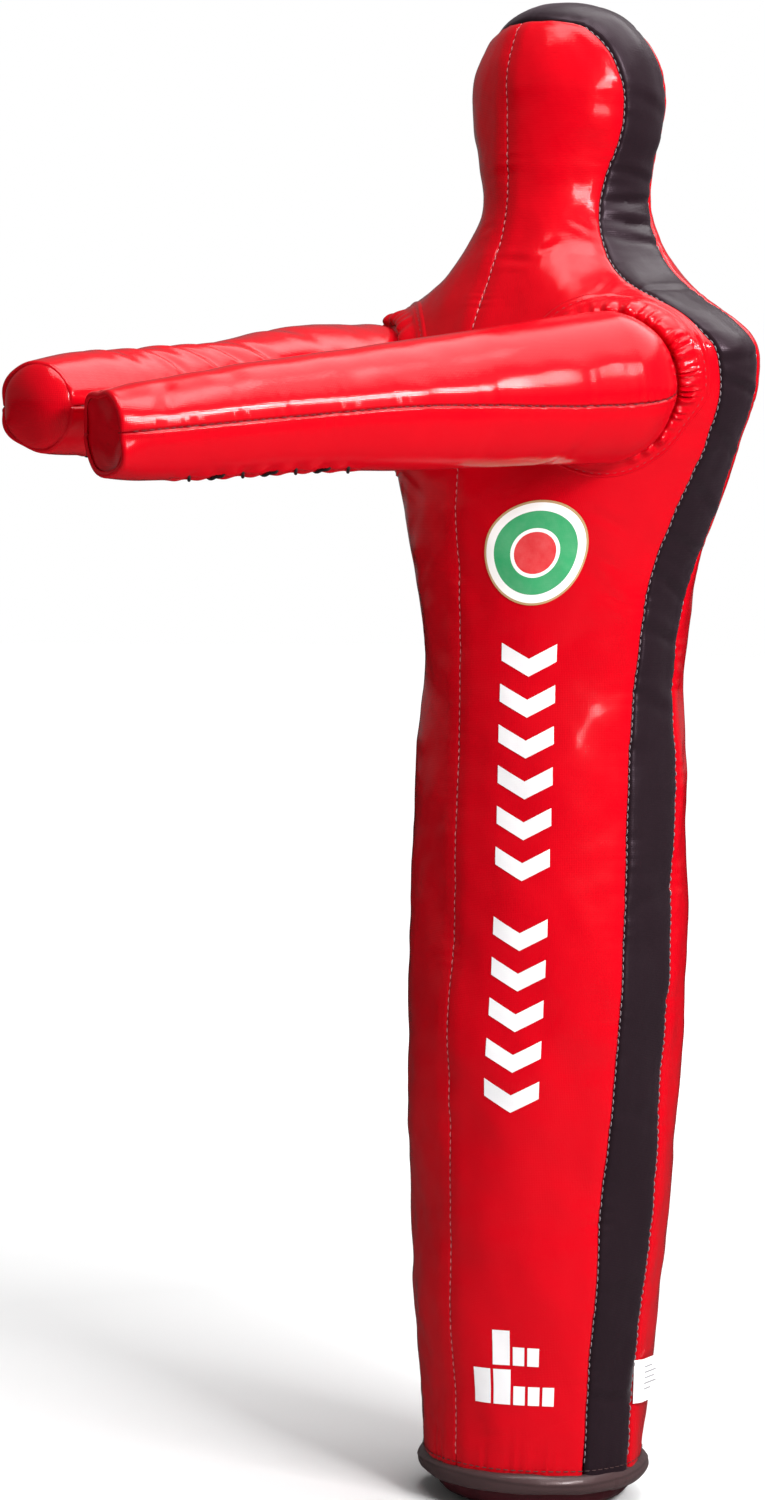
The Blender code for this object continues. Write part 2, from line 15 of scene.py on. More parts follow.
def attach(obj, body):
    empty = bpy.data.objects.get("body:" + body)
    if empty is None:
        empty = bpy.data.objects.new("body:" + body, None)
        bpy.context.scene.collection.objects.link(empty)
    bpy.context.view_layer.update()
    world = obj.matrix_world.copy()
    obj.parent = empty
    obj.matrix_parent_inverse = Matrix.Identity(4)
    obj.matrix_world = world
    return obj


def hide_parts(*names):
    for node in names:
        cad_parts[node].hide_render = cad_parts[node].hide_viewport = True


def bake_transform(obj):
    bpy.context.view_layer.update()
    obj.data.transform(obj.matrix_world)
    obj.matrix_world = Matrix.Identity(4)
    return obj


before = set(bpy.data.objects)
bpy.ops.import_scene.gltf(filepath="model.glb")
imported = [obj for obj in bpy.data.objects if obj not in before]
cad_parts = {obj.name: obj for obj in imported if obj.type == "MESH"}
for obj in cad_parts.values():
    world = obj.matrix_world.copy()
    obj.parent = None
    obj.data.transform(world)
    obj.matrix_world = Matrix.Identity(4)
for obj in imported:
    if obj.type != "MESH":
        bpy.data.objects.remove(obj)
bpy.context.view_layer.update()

# Driving dimensions, the same as the frame's. Metres and degrees.
HEIGHT = 1.0
# Height, half width and half depth of the trunk, neck and head.
BODY = [
    (0.012, 0.0740, 0.0740), (0.065, 0.0775, 0.0765), (0.140, 0.0825, 0.0815), (0.220, 0.0890, 0.0870),
    (0.320, 0.0955, 0.0905), (0.400, 0.0960, 0.0900), (0.480, 0.0915, 0.0885), (0.560, 0.0890, 0.0890),
    (0.620, 0.0970, 0.0925), (0.670, 0.1170, 0.0940), (0.710, 0.1380, 0.0930), (0.750, 0.1550, 0.0900),
    (0.772, 0.1560, 0.0865), (0.790, 0.1370, 0.0810), (0.805, 0.1100, 0.0760), (0.820, 0.0830, 0.0700),
    (0.838, 0.0650, 0.0615), (0.862, 0.0552, 0.0552), (0.890, 0.0585, 0.0560), (0.912, 0.0640, 0.0585),
    (0.936, 0.0670, 0.0595),
]
# Above its widest part the head closes as a rounded dome of this power.
HEAD_WIDEST = 0.936
CROWN_POWER = 2.2
HEAD_CENTRE = 0.93
# Height and section angle of the front and rear edges of the dark side strip.
FRONT_EDGE = [
    (0.030, 19.5), (0.140, 19.5), (0.270, 17.5), (0.400, 14.5), (0.475, 12.5), (0.540, 10), (0.605, 7.5),
    (0.690, 4), (0.735, 6), (0.770, 14), (0.800, 24), (0.820, 24), (0.845, 23), (0.866, 20.5), (0.886, 16.5),
    (0.899, 13), (0.915, 11.8), (0.930, 13), (0.947, 18), (0.956, 21.5), (0.9645, 27), (0.971, 33),
    (0.9785, 48), (0.9812, 70),
]
REAR_EDGE = [
    (0.030, -11.5), (0.140, -12), (0.270, -12.5), (0.343, -13.5), (0.400, -16), (0.474, -18.5), (0.540, -20),
    (0.606, -23), (0.655, -27.5), (0.700, -26.5), (0.735, -21), (0.770, -16), (0.800, -14), (0.820, -19),
    (0.845, -26), (0.869, -36), (0.890, -40), (0.940, -38), (0.970, -34), (0.985, -32), (0.992, -38),
    (0.996, -50), (0.9975, -70),
]
# Where the centre seams end at the strip, and the heights at which its two edges are matched on the head.
CROWN_FRONT = 0.9830
CROWN_REAR = 0.9985
FACE_LEVELS = [0.862, 0.876, 0.89, 0.905, 0.92, 0.934, 0.947, 0.957, 0.966, 0.9735, 0.9788, 0.9812]
BACK_LEVELS = [0.862, 0.876, 0.89, 0.905, 0.92, 0.936, 0.952, 0.968, 0.980, 0.988, 0.9940, 0.9975]
# Heights of the neck, the covers' lower edge, the stitches round it and the seams' lowest stitches.
NECK = 0.862
HEM = 0.0255
HEM_STITCHES = 0.0310
SEAM_STITCHES_FROM = 0.034

# The arm's root on the left side, and the arm's directions. The droop differs between the sides.
ARM_ROOT = np.array([0.112, -0.062, 0.742])
ARM_YAW = 13
ARM_DROOP = {1: 7.1, -1: 4.5}
PIVOT_DISTANCE = 0.036
# Distance from the pivot and radius of the sleeve. Behind the first of them its back is a part of a ball.
SLEEVE = [
    (-0.021, 0.0480), (0.020, 0.0462), (0.060, 0.0440), (0.110, 0.0402), (0.160, 0.0368), (0.250, 0.0325),
    (0.310, 0.0295), (0.330, 0.0272),
]
SLEEVE_START, BACK_RADIUS = SLEEVE[0]
SLEEVE_END, TIP_RADIUS = SLEEVE[-1]
# The lace under the sleeve, and the relief of its slit.
LACE_START = 0.174
LACE_PITCH = 0.018
LACE_CROSSINGS = 7
LACE_END = LACE_START + LACE_PITCH * (LACE_CROSSINGS - 1)
CROSSING_SHARE = 0.35  # the part of each pitch in which the lace crosses the slit
LACE_RADIUS = 0.0010
LACE_HALF_WIDTH = 0.0065
LACE_SINK = 0.0016
LACE_ARCH = 0.0026  # over the slit
LACE_SAG = 0.0012  # under the cover
LACE_FILL = 0.0028  # the lace doesn't follow the slit's groove down
SLIT_DEPTH = 0.0030
SLIT_LIP = 0.0009
SCALLOP_HEIGHT = 0.0015
LACED_DIP = 0.0006

BINDING_HEIGHT = 0.0215
BINDING_RADIUS = 0.0715
BINDING_TUBE = 0.0070
BADGE = (57, 0.6345)  # section angle and height of its middle
BADGE_RADIUS = 0.034
LABEL = (0.024, 0.0008, 0.029)  # length out of the seam, thickness and width
LABEL_HEIGHT = 0.085

# Fabric, seams and thread.
FABRIC = 0.0011
SKIRT_FABRIC = 0.0007
GRAIN = 0.0024  # grid spacing of the covers
WEAVE_PITCH = 0.0016
# Distances of grid lines from a sewn edge.
EDGE_STEPS = np.array([0, 0.0004, 0.0009, 0.0015, 0.0022, 0.0031, 0.0043, 0.0060, 0.0080])
SEAM_DEPTH = 0.0021
SEAM_ROLL = 0.0034
SEAM_GAP = 0.00008
SWELL_HEIGHT, SWELL_DISTANCE, SWELL_WIDTH = 0.0005, 0.0085, 0.006  # of the cover beside a seam
STITCH_PITCH = 0.005
STITCH_LENGTH = 0.0034
THREAD = 0.00036

SIDES = ((1, "left"), (-1, "right"))
MIRROR = {1: np.array([1, 1, 1]), -1: np.array([-1, 1, 1])}
AXIS_UP = np.array([0, 0, 1])
LEVEL = np.array([1, 1, 0])


# ---- curves, fields and grids ------------------------------------------------------------------

def smooth(stations, at, column):
    """A cubic curve through one column of the stations."""
    table = np.array(stations, float)
    x = table[:, 0]
    y = table[:, column]
    steps = np.diff(y) / np.diff(x)
    slope = np.concatenate([[steps[0]], (steps[1:] + steps[:-1]) / 2, [steps[-1]]])
    at = np.asarray(at, float)
    i = np.clip(np.searchsorted(x, at) - 1, 0, len(x) - 2)
    width = x[i + 1] - x[i]
    u = np.clip((at - x[i]) / width, 0, 1)
    start = y[i] * (1 + 2 * u) * (1 - u) ** 2 + slope[i] * width * u * (1 - u) ** 2
    return start + y[i + 1] * u * u * (3 - 2 * u) + slope[i + 1] * width * u * u * (u - 1)


def ramp(value, start, end):
    u = np.clip((value - start) / (end - start), 0, 1)
    return u * u * (3 - 2 * u)


def bell(value, width):
    return np.exp(-(value / width) ** 2)


def unit(vectors):
    return vectors / np.maximum(np.linalg.norm(vectors, axis=-1, keepdims=True), 1e-12)


def field(seed, shortest, longest, count=36):
    """A smooth random field of unit spread, made of waves in seeded random directions."""
    random = np.random.default_rng(seed)
    way = unit(random.normal(size=(count, 3)))
    length = np.exp(random.uniform(math.log(shortest), math.log(longest), count))
    wave = way / length[:, None] * 2 * math.pi
    phase = random.uniform(0, 2 * math.pi, count)

    def at(points):
        flat = points.reshape(-1, 3)
        total = np.zeros(len(flat))
        for w, p in zip(wave, phase):
            total += np.sin(flat @ w + p)
        return (total * math.sqrt(2 / count)).reshape(points.shape[:-1])

    return at


def line_field(seed, shortest, longest, count=14):
    """The same along a line: a function of one coordinate."""
    random = np.random.default_rng(seed)
    length = np.exp(random.uniform(math.log(shortest), math.log(longest), count))
    phase = random.uniform(0, 2 * math.pi, count)

    def at(x):
        total = sum(np.sin(2 * math.pi * x / n + p) for n, p in zip(length, phase))
        return total * math.sqrt(2 / count)

    return at


def grid_normals(grid):
    """Unit normals of a grid whose columns run counter-clockwise seen from outside, rows upwards."""
    return unit(np.cross(np.gradient(grid, axis=1), np.gradient(grid, axis=0)))


def facing(away, grid, *others):
    """The grid, and arrays that go with it, turned so that its normals point away."""
    if (grid_normals(grid) * away).sum(-1).mean() >= 0:
        return (grid, *others)
    return (grid[:, ::-1], *(o[:, ::-1] for o in others))


def run_length(path):
    """The distance along a path, at each of its points."""
    return np.concatenate([[0], np.cumsum(np.linalg.norm(np.diff(path, axis=0), axis=1))])


def rows_at(places, run, rows):
    """Points or normals at given distances along a path."""
    return np.column_stack([np.interp(places, run, rows[:, k]) for k in range(3)])


def angle_from(middle, phi):
    """Angles measured from a middle one, from -180 to 180."""
    return (phi - middle + 180) % 360 - 180


def stack(*parts):
    return np.stack(np.broadcast_arrays(*parts), -1)


# ---- the body's surface ------------------------------------------------------------------------

def section(z):
    low = np.minimum(z, HEAD_WIDEST)
    up = np.clip((np.asarray(z) - HEAD_WIDEST) / (HEIGHT - HEAD_WIDEST), 0, 0.99999)
    shrink = (1 - up ** CROWN_POWER) ** (1 / CROWN_POWER)
    return smooth(BODY, low, 1) * shrink, smooth(BODY, low, 2) * shrink


def front_edge(z):
    return smooth(FRONT_EDGE, z, 1)


def rear_edge(z):
    return smooth(REAR_EDGE, z, 1)


def arm_axes(side):
    """The arm's pivot, its direction, and the directions beside and above it."""
    yaw = math.radians(ARM_YAW)
    droop = math.radians(ARM_DROOP[side])
    flat = np.array([-side * math.sin(yaw), -math.cos(yaw), 0])
    along = flat * math.cos(droop) - AXIS_UP * math.sin(droop)
    up = unit(AXIS_UP - along * along[2])
    return ARM_ROOT * MIRROR[side] + along * PIVOT_DISTANCE, along, np.cross(up, along), up


def body_distance(p):
    """Roughly how far points lie outside the trunk's ellipses."""
    step = 0.002
    a, b = section(p[..., 2])
    slope = (section(p[..., 2] + step)[0] - section(p[..., 2] - step)[0]) / (2 * step)
    inside = (p[..., 0] / a) ** 2 + (p[..., 1] / b) ** 2 - 1
    rise = 2 * np.hypot(p[..., 0] / a ** 2, p[..., 1] / b ** 2)
    return inside / np.maximum(rise, 1e-6) / np.sqrt(1 + slope ** 2)


def skin(z, t):
    """Points of the plain outer face on the left side."""
    z, t = np.broadcast_arrays(np.asarray(z, float), np.asarray(t, float))
    a, b = section(z)
    angle = np.radians(t)
    return np.stack([a * np.cos(angle), -b * np.sin(angle), z], -1)


def away_from_axis(p):
    """From the body's axis, or from the head's centre at the top, to points."""
    axis = p * AXIS_UP
    axis[..., 2] = np.minimum(axis[..., 2], HEAD_CENTRE)
    return p - axis


def skin_normal(z, t):
    dz = 0.0008
    dt = 0.4
    across = skin(z, t - dt) - skin(z, t + dt)
    return unit(np.cross(across, skin(z + dz, t) - skin(z - dz, t)))


LUMPS = field(11, 0.060, 0.170)
DENTS = field(12, 0.020, 0.050)
SHIVERS = field(13, 0.007, 0.016)
LUMP_HEIGHT = 0.0010
DENT_HEIGHT = 0.00022
SHIVER_HEIGHT = 0.00003


def relief(p, side):
    """How far the stuffed cover stands out from its plain shape, from points on the left side."""
    world = p * MIRROR[side]
    amount = LUMP_HEIGHT * LUMPS(world) + DENT_HEIGHT * DENTS(world) + SHIVER_HEIGHT * SHIVERS(world)
    for start, end, depth, width, where in CREASES:
        if where in (0, side):
            amount = amount + fold(p, start, end, depth, width)
    return amount


def crease(away, width, lip, spread=2.1):
    """The shape across a crease of unit depth: a valley with a lip beside it."""
    return lip * bell(away - spread * width, width) - bell(away, width)


def fold(p, start, end, depth, width):
    """A crease between two places on the skin, shallower towards its ends, with a lip on both sides."""
    a = skin(*start)
    b = skin(*end)
    run = b - a
    u = np.clip(((p - a) @ run) / (run @ run), 0, 1)
    away = np.linalg.norm(p - a - u[..., None] * run, axis=-1)
    taper = 0.25 + 0.75 * np.sin(math.pi * np.clip(u, 0.02, 0.98))
    return depth * taper * crease(away, width, 0.4)


# Creases of the cover: start and end (height, angle), depth, half width, and side (0 both).
CREASES = [
    ((0.8240, 66), (0.8260, 88), 0.0010, 0.0026, 1),
    ((0.8350, 52), (0.8290, 64), 0.0007, 0.0024, 1),
    ((0.8460, 70), (0.8480, 82), 0.0006, 0.0020, -1),
    ((0.8450, 30), (0.8530, 44), 0.0008, 0.0024, 0),
    ((0.8120, 34), (0.8000, 46), 0.0009, 0.0030, 1),
    ((0.8650, -44), (0.8600, -70), 0.0010, 0.0030, 0),
    ((0.8420, -40), (0.8380, -75), 0.0009, 0.0030, 0),
    ((0.6620, 40), (0.6500, 24), 0.0008, 0.0032, 1),
    ((0.6350, 34), (0.6230, 22), 0.0007, 0.0030, 1),
    ((0.6100, 28), (0.6010, 16), 0.0006, 0.0028, 0),
    ((0.6700, 76), (0.6820, 62), 0.0007, 0.0032, 1),
    ((0.6700, 70), (0.6900, 50), 0.0007, 0.0032, -1),
    ((0.0560, 60), (0.0480, 80), 0.0005, 0.0030, 0),
    ((0.0700, 30), (0.0560, 42), 0.0005, 0.0030, 0),
]


def cover(z, t, side, lift=0.0):
    """Points on the finished cover and its normals, away from seams."""
    z, t = np.broadcast_arrays(np.asarray(z, float), np.asarray(t, float))
    p = skin(z, t)
    n = skin_normal(z, t)
    p = p + n * (relief(p, side) + lift)[..., None]
    return p * MIRROR[side], n * MIRROR[side]


# ---- seams -------------------------------------------------------------------------------------

def rolled(distance, depth=SEAM_DEPTH, width=SEAM_ROLL):
    """A sewn edge turns in and the filling swells the cover beside it."""
    u = np.clip(1 - distance / width, 0, 1)
    return -depth * u ** 2 + SWELL_HEIGHT * bell(distance - SWELL_DISTANCE, SWELL_WIDTH)


def puckers(seed, pitch, depth, reach):
    """Short creases that the thread draws across a seam, as a function of distance and place along it."""
    shift = line_field(seed, 0.02, 0.09)
    strength = line_field(seed + 1, 0.03, 0.15)

    def at(distance, along):
        crest = 0.5 + 0.5 * np.cos(2 * math.pi * along / pitch + 2.2 * shift(along))
        amount = np.clip(0.55 + 0.4 * strength(along), 0.05, 1.3)
        return -depth * amount * crest ** 2 * np.exp(-distance / reach)

    return at


CENTRE_PUCKERS = puckers(21, 0.0120, 0.0006, 0.0070)
FRONT_PUCKERS = puckers(23, 0.0110, 0.0009, 0.0080)
REAR_PUCKERS = puckers(25, 0.0115, 0.0009, 0.0080)
BACK_PUCKERS = puckers(27, 0.0120, 0.0007, 0.0070)
HEM_PUCKERS = puckers(29, 0.0130, 0.0016, 0.0120)
HEM_ROLL = 0.006
HEM_DIP = 0.0006
HEM_RADIUS = 0.075
STITCHES_SUNK = 0.0012  # how deep the strip's stitches lie in their seams
SIDE_SHIFT = 0.37  # how far the puckers of one side are moved along, so that the two sides differ


def hem_relief(up, around):
    """The hem's puckers and the dip beside the binding, from the distance up from it and the angle round."""
    gathered = HEM_PUCKERS(np.maximum(up - HEM_ROLL, 0), around * HEM_RADIUS) * ramp(up, 0.0, HEM_ROLL)
    return gathered - HEM_DIP * bell(up, HEM_ROLL)


FINE_STEPS = 6000


def spaced_levels(start, end, step):
    """Heights at even steps along the side of the body."""
    z = np.linspace(start, end, FINE_STEPS)
    length = run_length(np.column_stack([z, section(z)[0]]))
    even = np.linspace(0, length[-1], int(length[-1] / step) + 1)
    return np.interp(even, length, z), even


def spread_columns(z, low, high, middle):
    """Angles of columns between two edges of each row, dense at the edges, and distances from both."""
    share = np.linspace(0, 1, 97)
    t = low[:, None] + (high - low)[:, None] * share
    p = skin(np.broadcast_to(z[:, None], t.shape), t)
    steps = np.linalg.norm(np.diff(p, axis=1), axis=-1)
    length = np.column_stack([np.zeros(len(z)), np.cumsum(steps, 1)])
    total = length[:, -1:]
    edge = EDGE_STEPS * np.minimum(1, total / (3 * EDGE_STEPS[-1])) + SEAM_GAP
    inner = np.linspace(0, 1, middle + 2)[1:-1]
    between = edge[:, -1:] + (total - 2 * edge[:, -1:]) * inner
    distance = np.hstack([edge, between, total - edge[:, ::-1]])
    angle = np.array([np.interp(d, n, row) for d, n, row in zip(distance, length, t)])
    return angle, distance, total - distance


# ---- meshes ------------------------------------------------------------------------------------

def add_mesh(name, points, faces, material, cloth=None):
    mesh = bpy.data.meshes.new(name)
    mesh.from_pydata(np.asarray(points).reshape(-1, 3).tolist(), [], faces)
    mesh.update()
    if cloth is not None:
        made = mesh.attributes.new("cloth", "FLOAT_VECTOR", "POINT")
        made.data.foreach_set("vector", np.asarray(cloth, np.float32).reshape(-1))
    obj = bpy.data.objects.new(name, mesh)
    bpy.context.scene.collection.objects.link(obj)
    mesh.materials.append(material)
    return obj


def grid_faces(rows, columns, wrap=False, keep=None):
    index = np.arange(rows * columns).reshape(rows, columns)
    if wrap:
        index = np.column_stack([index, index[:, 0]])
    quads = np.stack([index[:-1, :-1], index[:-1, 1:], index[1:, 1:], index[1:, :-1]], -1)
    if keep is not None:
        quads = quads[keep]
    return quads.reshape(-1, 4).tolist()


def finish_mesh(obj, thickness=FABRIC, sharp=55):
    """Gives a sheet its thickness and shades it smooth."""
    if thickness:
        made = obj.modifiers.new("thickness", "SOLIDIFY")
        made.thickness = thickness
        made.offset = -1
    graph = bpy.context.evaluated_depsgraph_get()
    mesh = bpy.data.meshes.new_from_object(obj.evaluated_get(graph))
    obj.modifiers.clear()
    old = obj.data
    obj.data = mesh
    bpy.data.meshes.remove(old)
    mesh.name = obj.name
    mesh.shade_smooth()
    mesh.set_sharp_from_angle(angle=math.radians(sharp))
    return obj


def shell(name, grid, cloth, material, thickness=FABRIC, wrap=False, keep=None):
    rows, columns = grid.shape[:2]
    used = np.ones(rows * columns, bool)
    faces = grid_faces(rows, columns, wrap, keep)
    if keep is not None:
        used[:] = False
        used[np.unique(np.array(faces))] = True
        renumber = np.cumsum(used) - 1
        faces = renumber[np.array(faces)].tolist()
    points = grid.reshape(-1, 3)[used]
    values = cloth.reshape(-1, 3)[used]
    return finish_mesh(add_mesh(name, points, faces, material, values), thickness)


def closed_disc(name, grid, cloth, centre, edge, away, material, thickness):
    """A disc from rings of points and a point in the middle, turned so that it faces away."""
    rows, columns = grid.shape[:2]
    points = np.vstack([grid.reshape(-1, 3), centre])
    values = np.vstack([cloth.reshape(-1, 3), [0, 0, edge]])
    faces = grid_faces(rows, columns, True)
    inner = 0 if np.ptp(grid[0], 0).max() < np.ptp(grid[-1], 0).max() else (rows - 1) * columns
    for i in range(columns):
        pair = [inner + i, inner + (i + 1) % columns]
        faces.append([*(pair if inner else pair[::-1]), len(points) - 1])
    a, b, c = points[faces[columns * (rows // 2)][:3]]
    if np.cross(b - a, c - a) @ away < 0:
        faces = [f[::-1] for f in faces]
    return finish_mesh(add_mesh(name, points, faces, material, values), thickness)


def ring_tube(path, radius, sides, taper=False):
    """Points and faces of a tube along a path, with closed ends."""
    path = np.asarray(path, float)
    ahead = unit(np.gradient(path, axis=0))
    guide = unit(np.cross(ahead, np.array([0.31, 0.52, 0.79])))
    other = np.cross(ahead, guide)
    turn = np.linspace(0, 2 * math.pi, sides, endpoint=False)
    size = np.full(len(path), radius)
    if taper:
        size = size * np.sin(np.linspace(0.35, math.pi - 0.35, len(path))) ** 0.5
    ring = np.cos(turn)[None, :, None] * guide[:, None] + np.sin(turn)[None, :, None] * other[:, None]
    points = (path[:, None] + ring * size[:, None, None]).reshape(-1, 3)
    faces = grid_faces(len(path), sides, True)
    faces.append(list(range(sides))[::-1])
    faces.append(list(range((len(path) - 1) * sides, len(path) * sides)))
    return points, faces


def stitches(name, path, normals, material):
    """A row of separate stitches along a path on a cover."""
    path = np.asarray(path, float)
    run = run_length(path)
    sides = 6
    points = []
    faces = []
    for i in range(int(run[-1] // STITCH_PITCH)):
        at = (i + 0.5) * STITCH_PITCH + STITCH_LENGTH * (np.linspace(0, 1, 5) - 0.5)
        arch = np.sin(np.linspace(0, math.pi, 5)) * THREAD * 1.5 - THREAD * 0.6
        line = rows_at(at, run, path) + unit(rows_at(at, run, normals)) * arch[:, None]
        made, found = ring_tube(line, THREAD, sides, True)
        faces += [[k + i * len(made) for k in face] for face in found]
        points.append(made)
    obj = add_mesh(name, np.concatenate(points), faces, material)
    return finish_mesh(obj, 0, 80)


# ---- materials ---------------------------------------------------------------------------------

# How deep the bumps go: the weave of a coated cloth, and the grain of thread, ink and ribbon.
WEAVE_DEPTH = 0.00012
FINE_DEPTH = 0.0001
RIB_PITCH = 0.0005


class Nodes:
    """Short names for building a material."""

    def __init__(self, name):
        self.material = bpy.data.materials.new(name)
        self.material.use_nodes = True
        self.tree = self.material.node_tree
        self.shader = self.tree.nodes["Principled BSDF"]

    def add(self, kind, **settings):
        made = self.tree.nodes.new(kind)
        for key, value in settings.items():
            setattr(made, key, value)
        return made

    def link(self, start, end):
        self.tree.links.new(start, end)

    def math(self, operation, first, second=None, clamp=False):
        made = self.add("ShaderNodeMath", operation=operation, use_clamp=clamp)
        for socket, value in zip(made.inputs, (first, second)):
            if isinstance(value, (int, float)):
                socket.default_value = value
            elif value is not None:
                self.link(value, socket)
        return made.outputs[0]

    def set(self, **values):
        """Puts plain values on the shader's own sockets; an underscore stands for a space."""
        for socket, value in values.items():
            if isinstance(value, tuple):
                value = (*value, 1)
            self.shader.inputs[socket.replace("_", " ")].default_value = value

    def feed(self, socket, value):
        self.link(value, self.shader.inputs[socket])

    def noise(self, scale, detail=3, roughness=0.5):
        made = self.add("ShaderNodeTexNoise")
        made.inputs["Scale"].default_value = scale
        made.inputs["Detail"].default_value = detail
        made.inputs["Roughness"].default_value = roughness
        self.link(self.add("ShaderNodeTexCoord").outputs["Object"], made.inputs["Vector"])
        return made.outputs["Fac"]

    def between(self, value, low, high):
        made = self.add("ShaderNodeMapRange")
        made.inputs["To Min"].default_value = low
        made.inputs["To Max"].default_value = high
        self.link(value, made.inputs["Value"])
        return made.outputs["Result"]

    def mix(self, factor, first, second):
        made = self.add("ShaderNodeMix", data_type="RGBA")
        self.link(factor, made.inputs["Factor"])
        for socket, value in ((made.inputs[6], first), (made.inputs[7], second)):
            if isinstance(value, tuple):
                socket.default_value = (*value, 1)
            else:
                self.link(value, socket)
        return made.outputs[2]

    def bump(self, height, strength, distance, normal=None):
        made = self.add("ShaderNodeBump")
        made.inputs["Strength"].default_value = strength
        made.inputs["Distance"].default_value = distance
        self.link(height, made.inputs["Height"])
        if normal is not None:
            self.link(normal, made.inputs["Normal"])
        return made.outputs["Normal"]

    def cloth(self):
        made = self.add("ShaderNodeAttribute", attribute_name="cloth")
        parts = self.add("ShaderNodeSeparateXYZ")
        self.link(made.outputs["Vector"], parts.inputs[0])
        return parts.outputs

    def weave(self):
        """The scrim that shows through a coating: a net of small dimples."""
        u, v, _ = self.cloth()
        turn = 2 * math.pi / WEAVE_PITCH * 0.7071
        first = self.math("MULTIPLY", self.math("ADD", u, v), turn)
        second = self.math("MULTIPLY", self.math("SUBTRACT", u, v), turn)
        return self.math("MULTIPLY", self.math("SINE", first), self.math("SINE", second))


def coated_fabric(name, color, shade, roughness, coat, weave, grain, sheen=0.0, shine=0.3, tint=(1, 1, 1)):
    """A coated cloth: broad gloss, faint weave, fine crumple, duller in the seams, and darker there with
    painted shade.
    """
    n = Nodes(name)
    worn = n.noise(26, 4, 0.55)
    tone = n.mix(n.between(worn, 0.15, 0.85), color, tuple(c * 0.86 for c in color))
    # Painted shade: near seams, laps, slits and tucks the colour is mixed up to three quarters of the way to
    # the shade colour.
    seam_width = 0.0020
    in_seam = n.math("SUBTRACT", 1, n.math("DIVIDE", n.cloth()[2], seam_width), True)
    n.feed("Base Color", n.mix(n.math("MULTIPLY", in_seam, 0.75, True), tone, shade))
    rough = n.between(n.noise(60, 4, 0.6), roughness * 0.75, roughness * 1.3)
    n.feed("Roughness", n.math("ADD", rough, n.math("MULTIPLY", in_seam, 0.15)))
    crumple = n.bump(n.noise(230, 3, 0.55), grain, 0.0004)
    n.feed("Normal", n.bump(n.weave(), weave, WEAVE_DEPTH, crumple))
    n.feed("Coat Normal", n.bump(n.weave(), 0.5 * weave, WEAVE_DEPTH))
    n.set(Coat_Weight=coat, Coat_Roughness=0.10, Coat_IOR=1.3, Specular_IOR_Level=shine, Specular_Tint=tint,
          Sheen_Weight=sheen, Sheen_Tint=tint, Sheen_Roughness=0.4)
    return n.material


def thread_material(name, color):
    n = Nodes(name)
    twist = n.noise(2600, 2, 0.5)
    n.feed("Base Color", n.mix(twist, color, tuple(c * 0.55 for c in color)))
    n.feed("Normal", n.bump(twist, 0.5, FINE_DEPTH))
    n.set(Roughness=0.62)
    return n.material


def print_material(name, color):
    """Printed ink that takes the weave of the cloth under it."""
    n = Nodes(name)
    worn = n.noise(90, 4, 0.6)
    n.feed("Base Color", n.mix(n.between(worn, 0.2, 0.9), color, tuple(c * 0.93 for c in color)))
    n.feed("Roughness", n.between(worn, 0.3, 0.42))
    n.feed("Normal", n.bump(n.weave(), 0.22, FINE_DEPTH))
    n.set(Coat_Weight=0.25, Coat_Roughness=0.2)
    return n.material


# The badge's rings, from the middle outwards: where each starts, as a share of the radius, and its colour.
RINGS = [
    (0.0, (0.62, 0.010, 0.016)), (0.40, (0.86, 0.86, 0.84)), (0.47, (0.010, 0.30, 0.10)),
    (0.80, (0.86, 0.86, 0.84)), (0.955, (0.42, 0.27, 0.11)),
]


def badge_material():
    """Plain rings: a thin gold rim, white, green, white and a red middle."""
    n = Nodes("badge rings")
    u, v, _ = n.cloth()
    reach = n.math("SQRT", n.math("ADD", n.math("MULTIPLY", u, u), n.math("MULTIPLY", v, v)))
    rings = n.add("ShaderNodeValToRGB")
    rings.color_ramp.interpolation = "CONSTANT"
    while len(rings.color_ramp.elements) < len(RINGS):
        rings.color_ramp.elements.new(0.5)
    for element, (place, color) in zip(rings.color_ramp.elements, RINGS):
        element.position = place
        element.color = (*color, 1)
    n.link(n.math("DIVIDE", reach, BADGE_RADIUS, True), rings.inputs["Fac"])
    worn = n.noise(120, 3, 0.6)
    n.feed("Base Color", n.mix(n.between(worn, 0, 0.12), rings.outputs["Color"], (0.75, 0.73, 0.70)))
    n.feed("Roughness", n.between(worn, 0.26, 0.38))
    n.feed("Normal", n.bump(n.weave(), 0.2, FINE_DEPTH))
    n.set(Coat_Weight=0.2, Coat_IOR=1.3, Specular_IOR_Level=0.1)
    return n.material


def label_material():
    """A satin ribbon: fine ribs one way."""
    n = Nodes("label ribbon")
    ribs = n.math("SINE", n.math("MULTIPLY", n.cloth()[1], 2 * math.pi / RIB_PITCH))
    n.feed("Base Color", n.mix(n.between(n.noise(80), 0, 0.6), (0.86, 0.86, 0.85), (0.78, 0.78, 0.78)))
    n.feed("Normal", n.bump(ribs, 0.25, FINE_DEPTH))
    n.set(Roughness=0.6, Sheen_Weight=0.3)
    return n.material
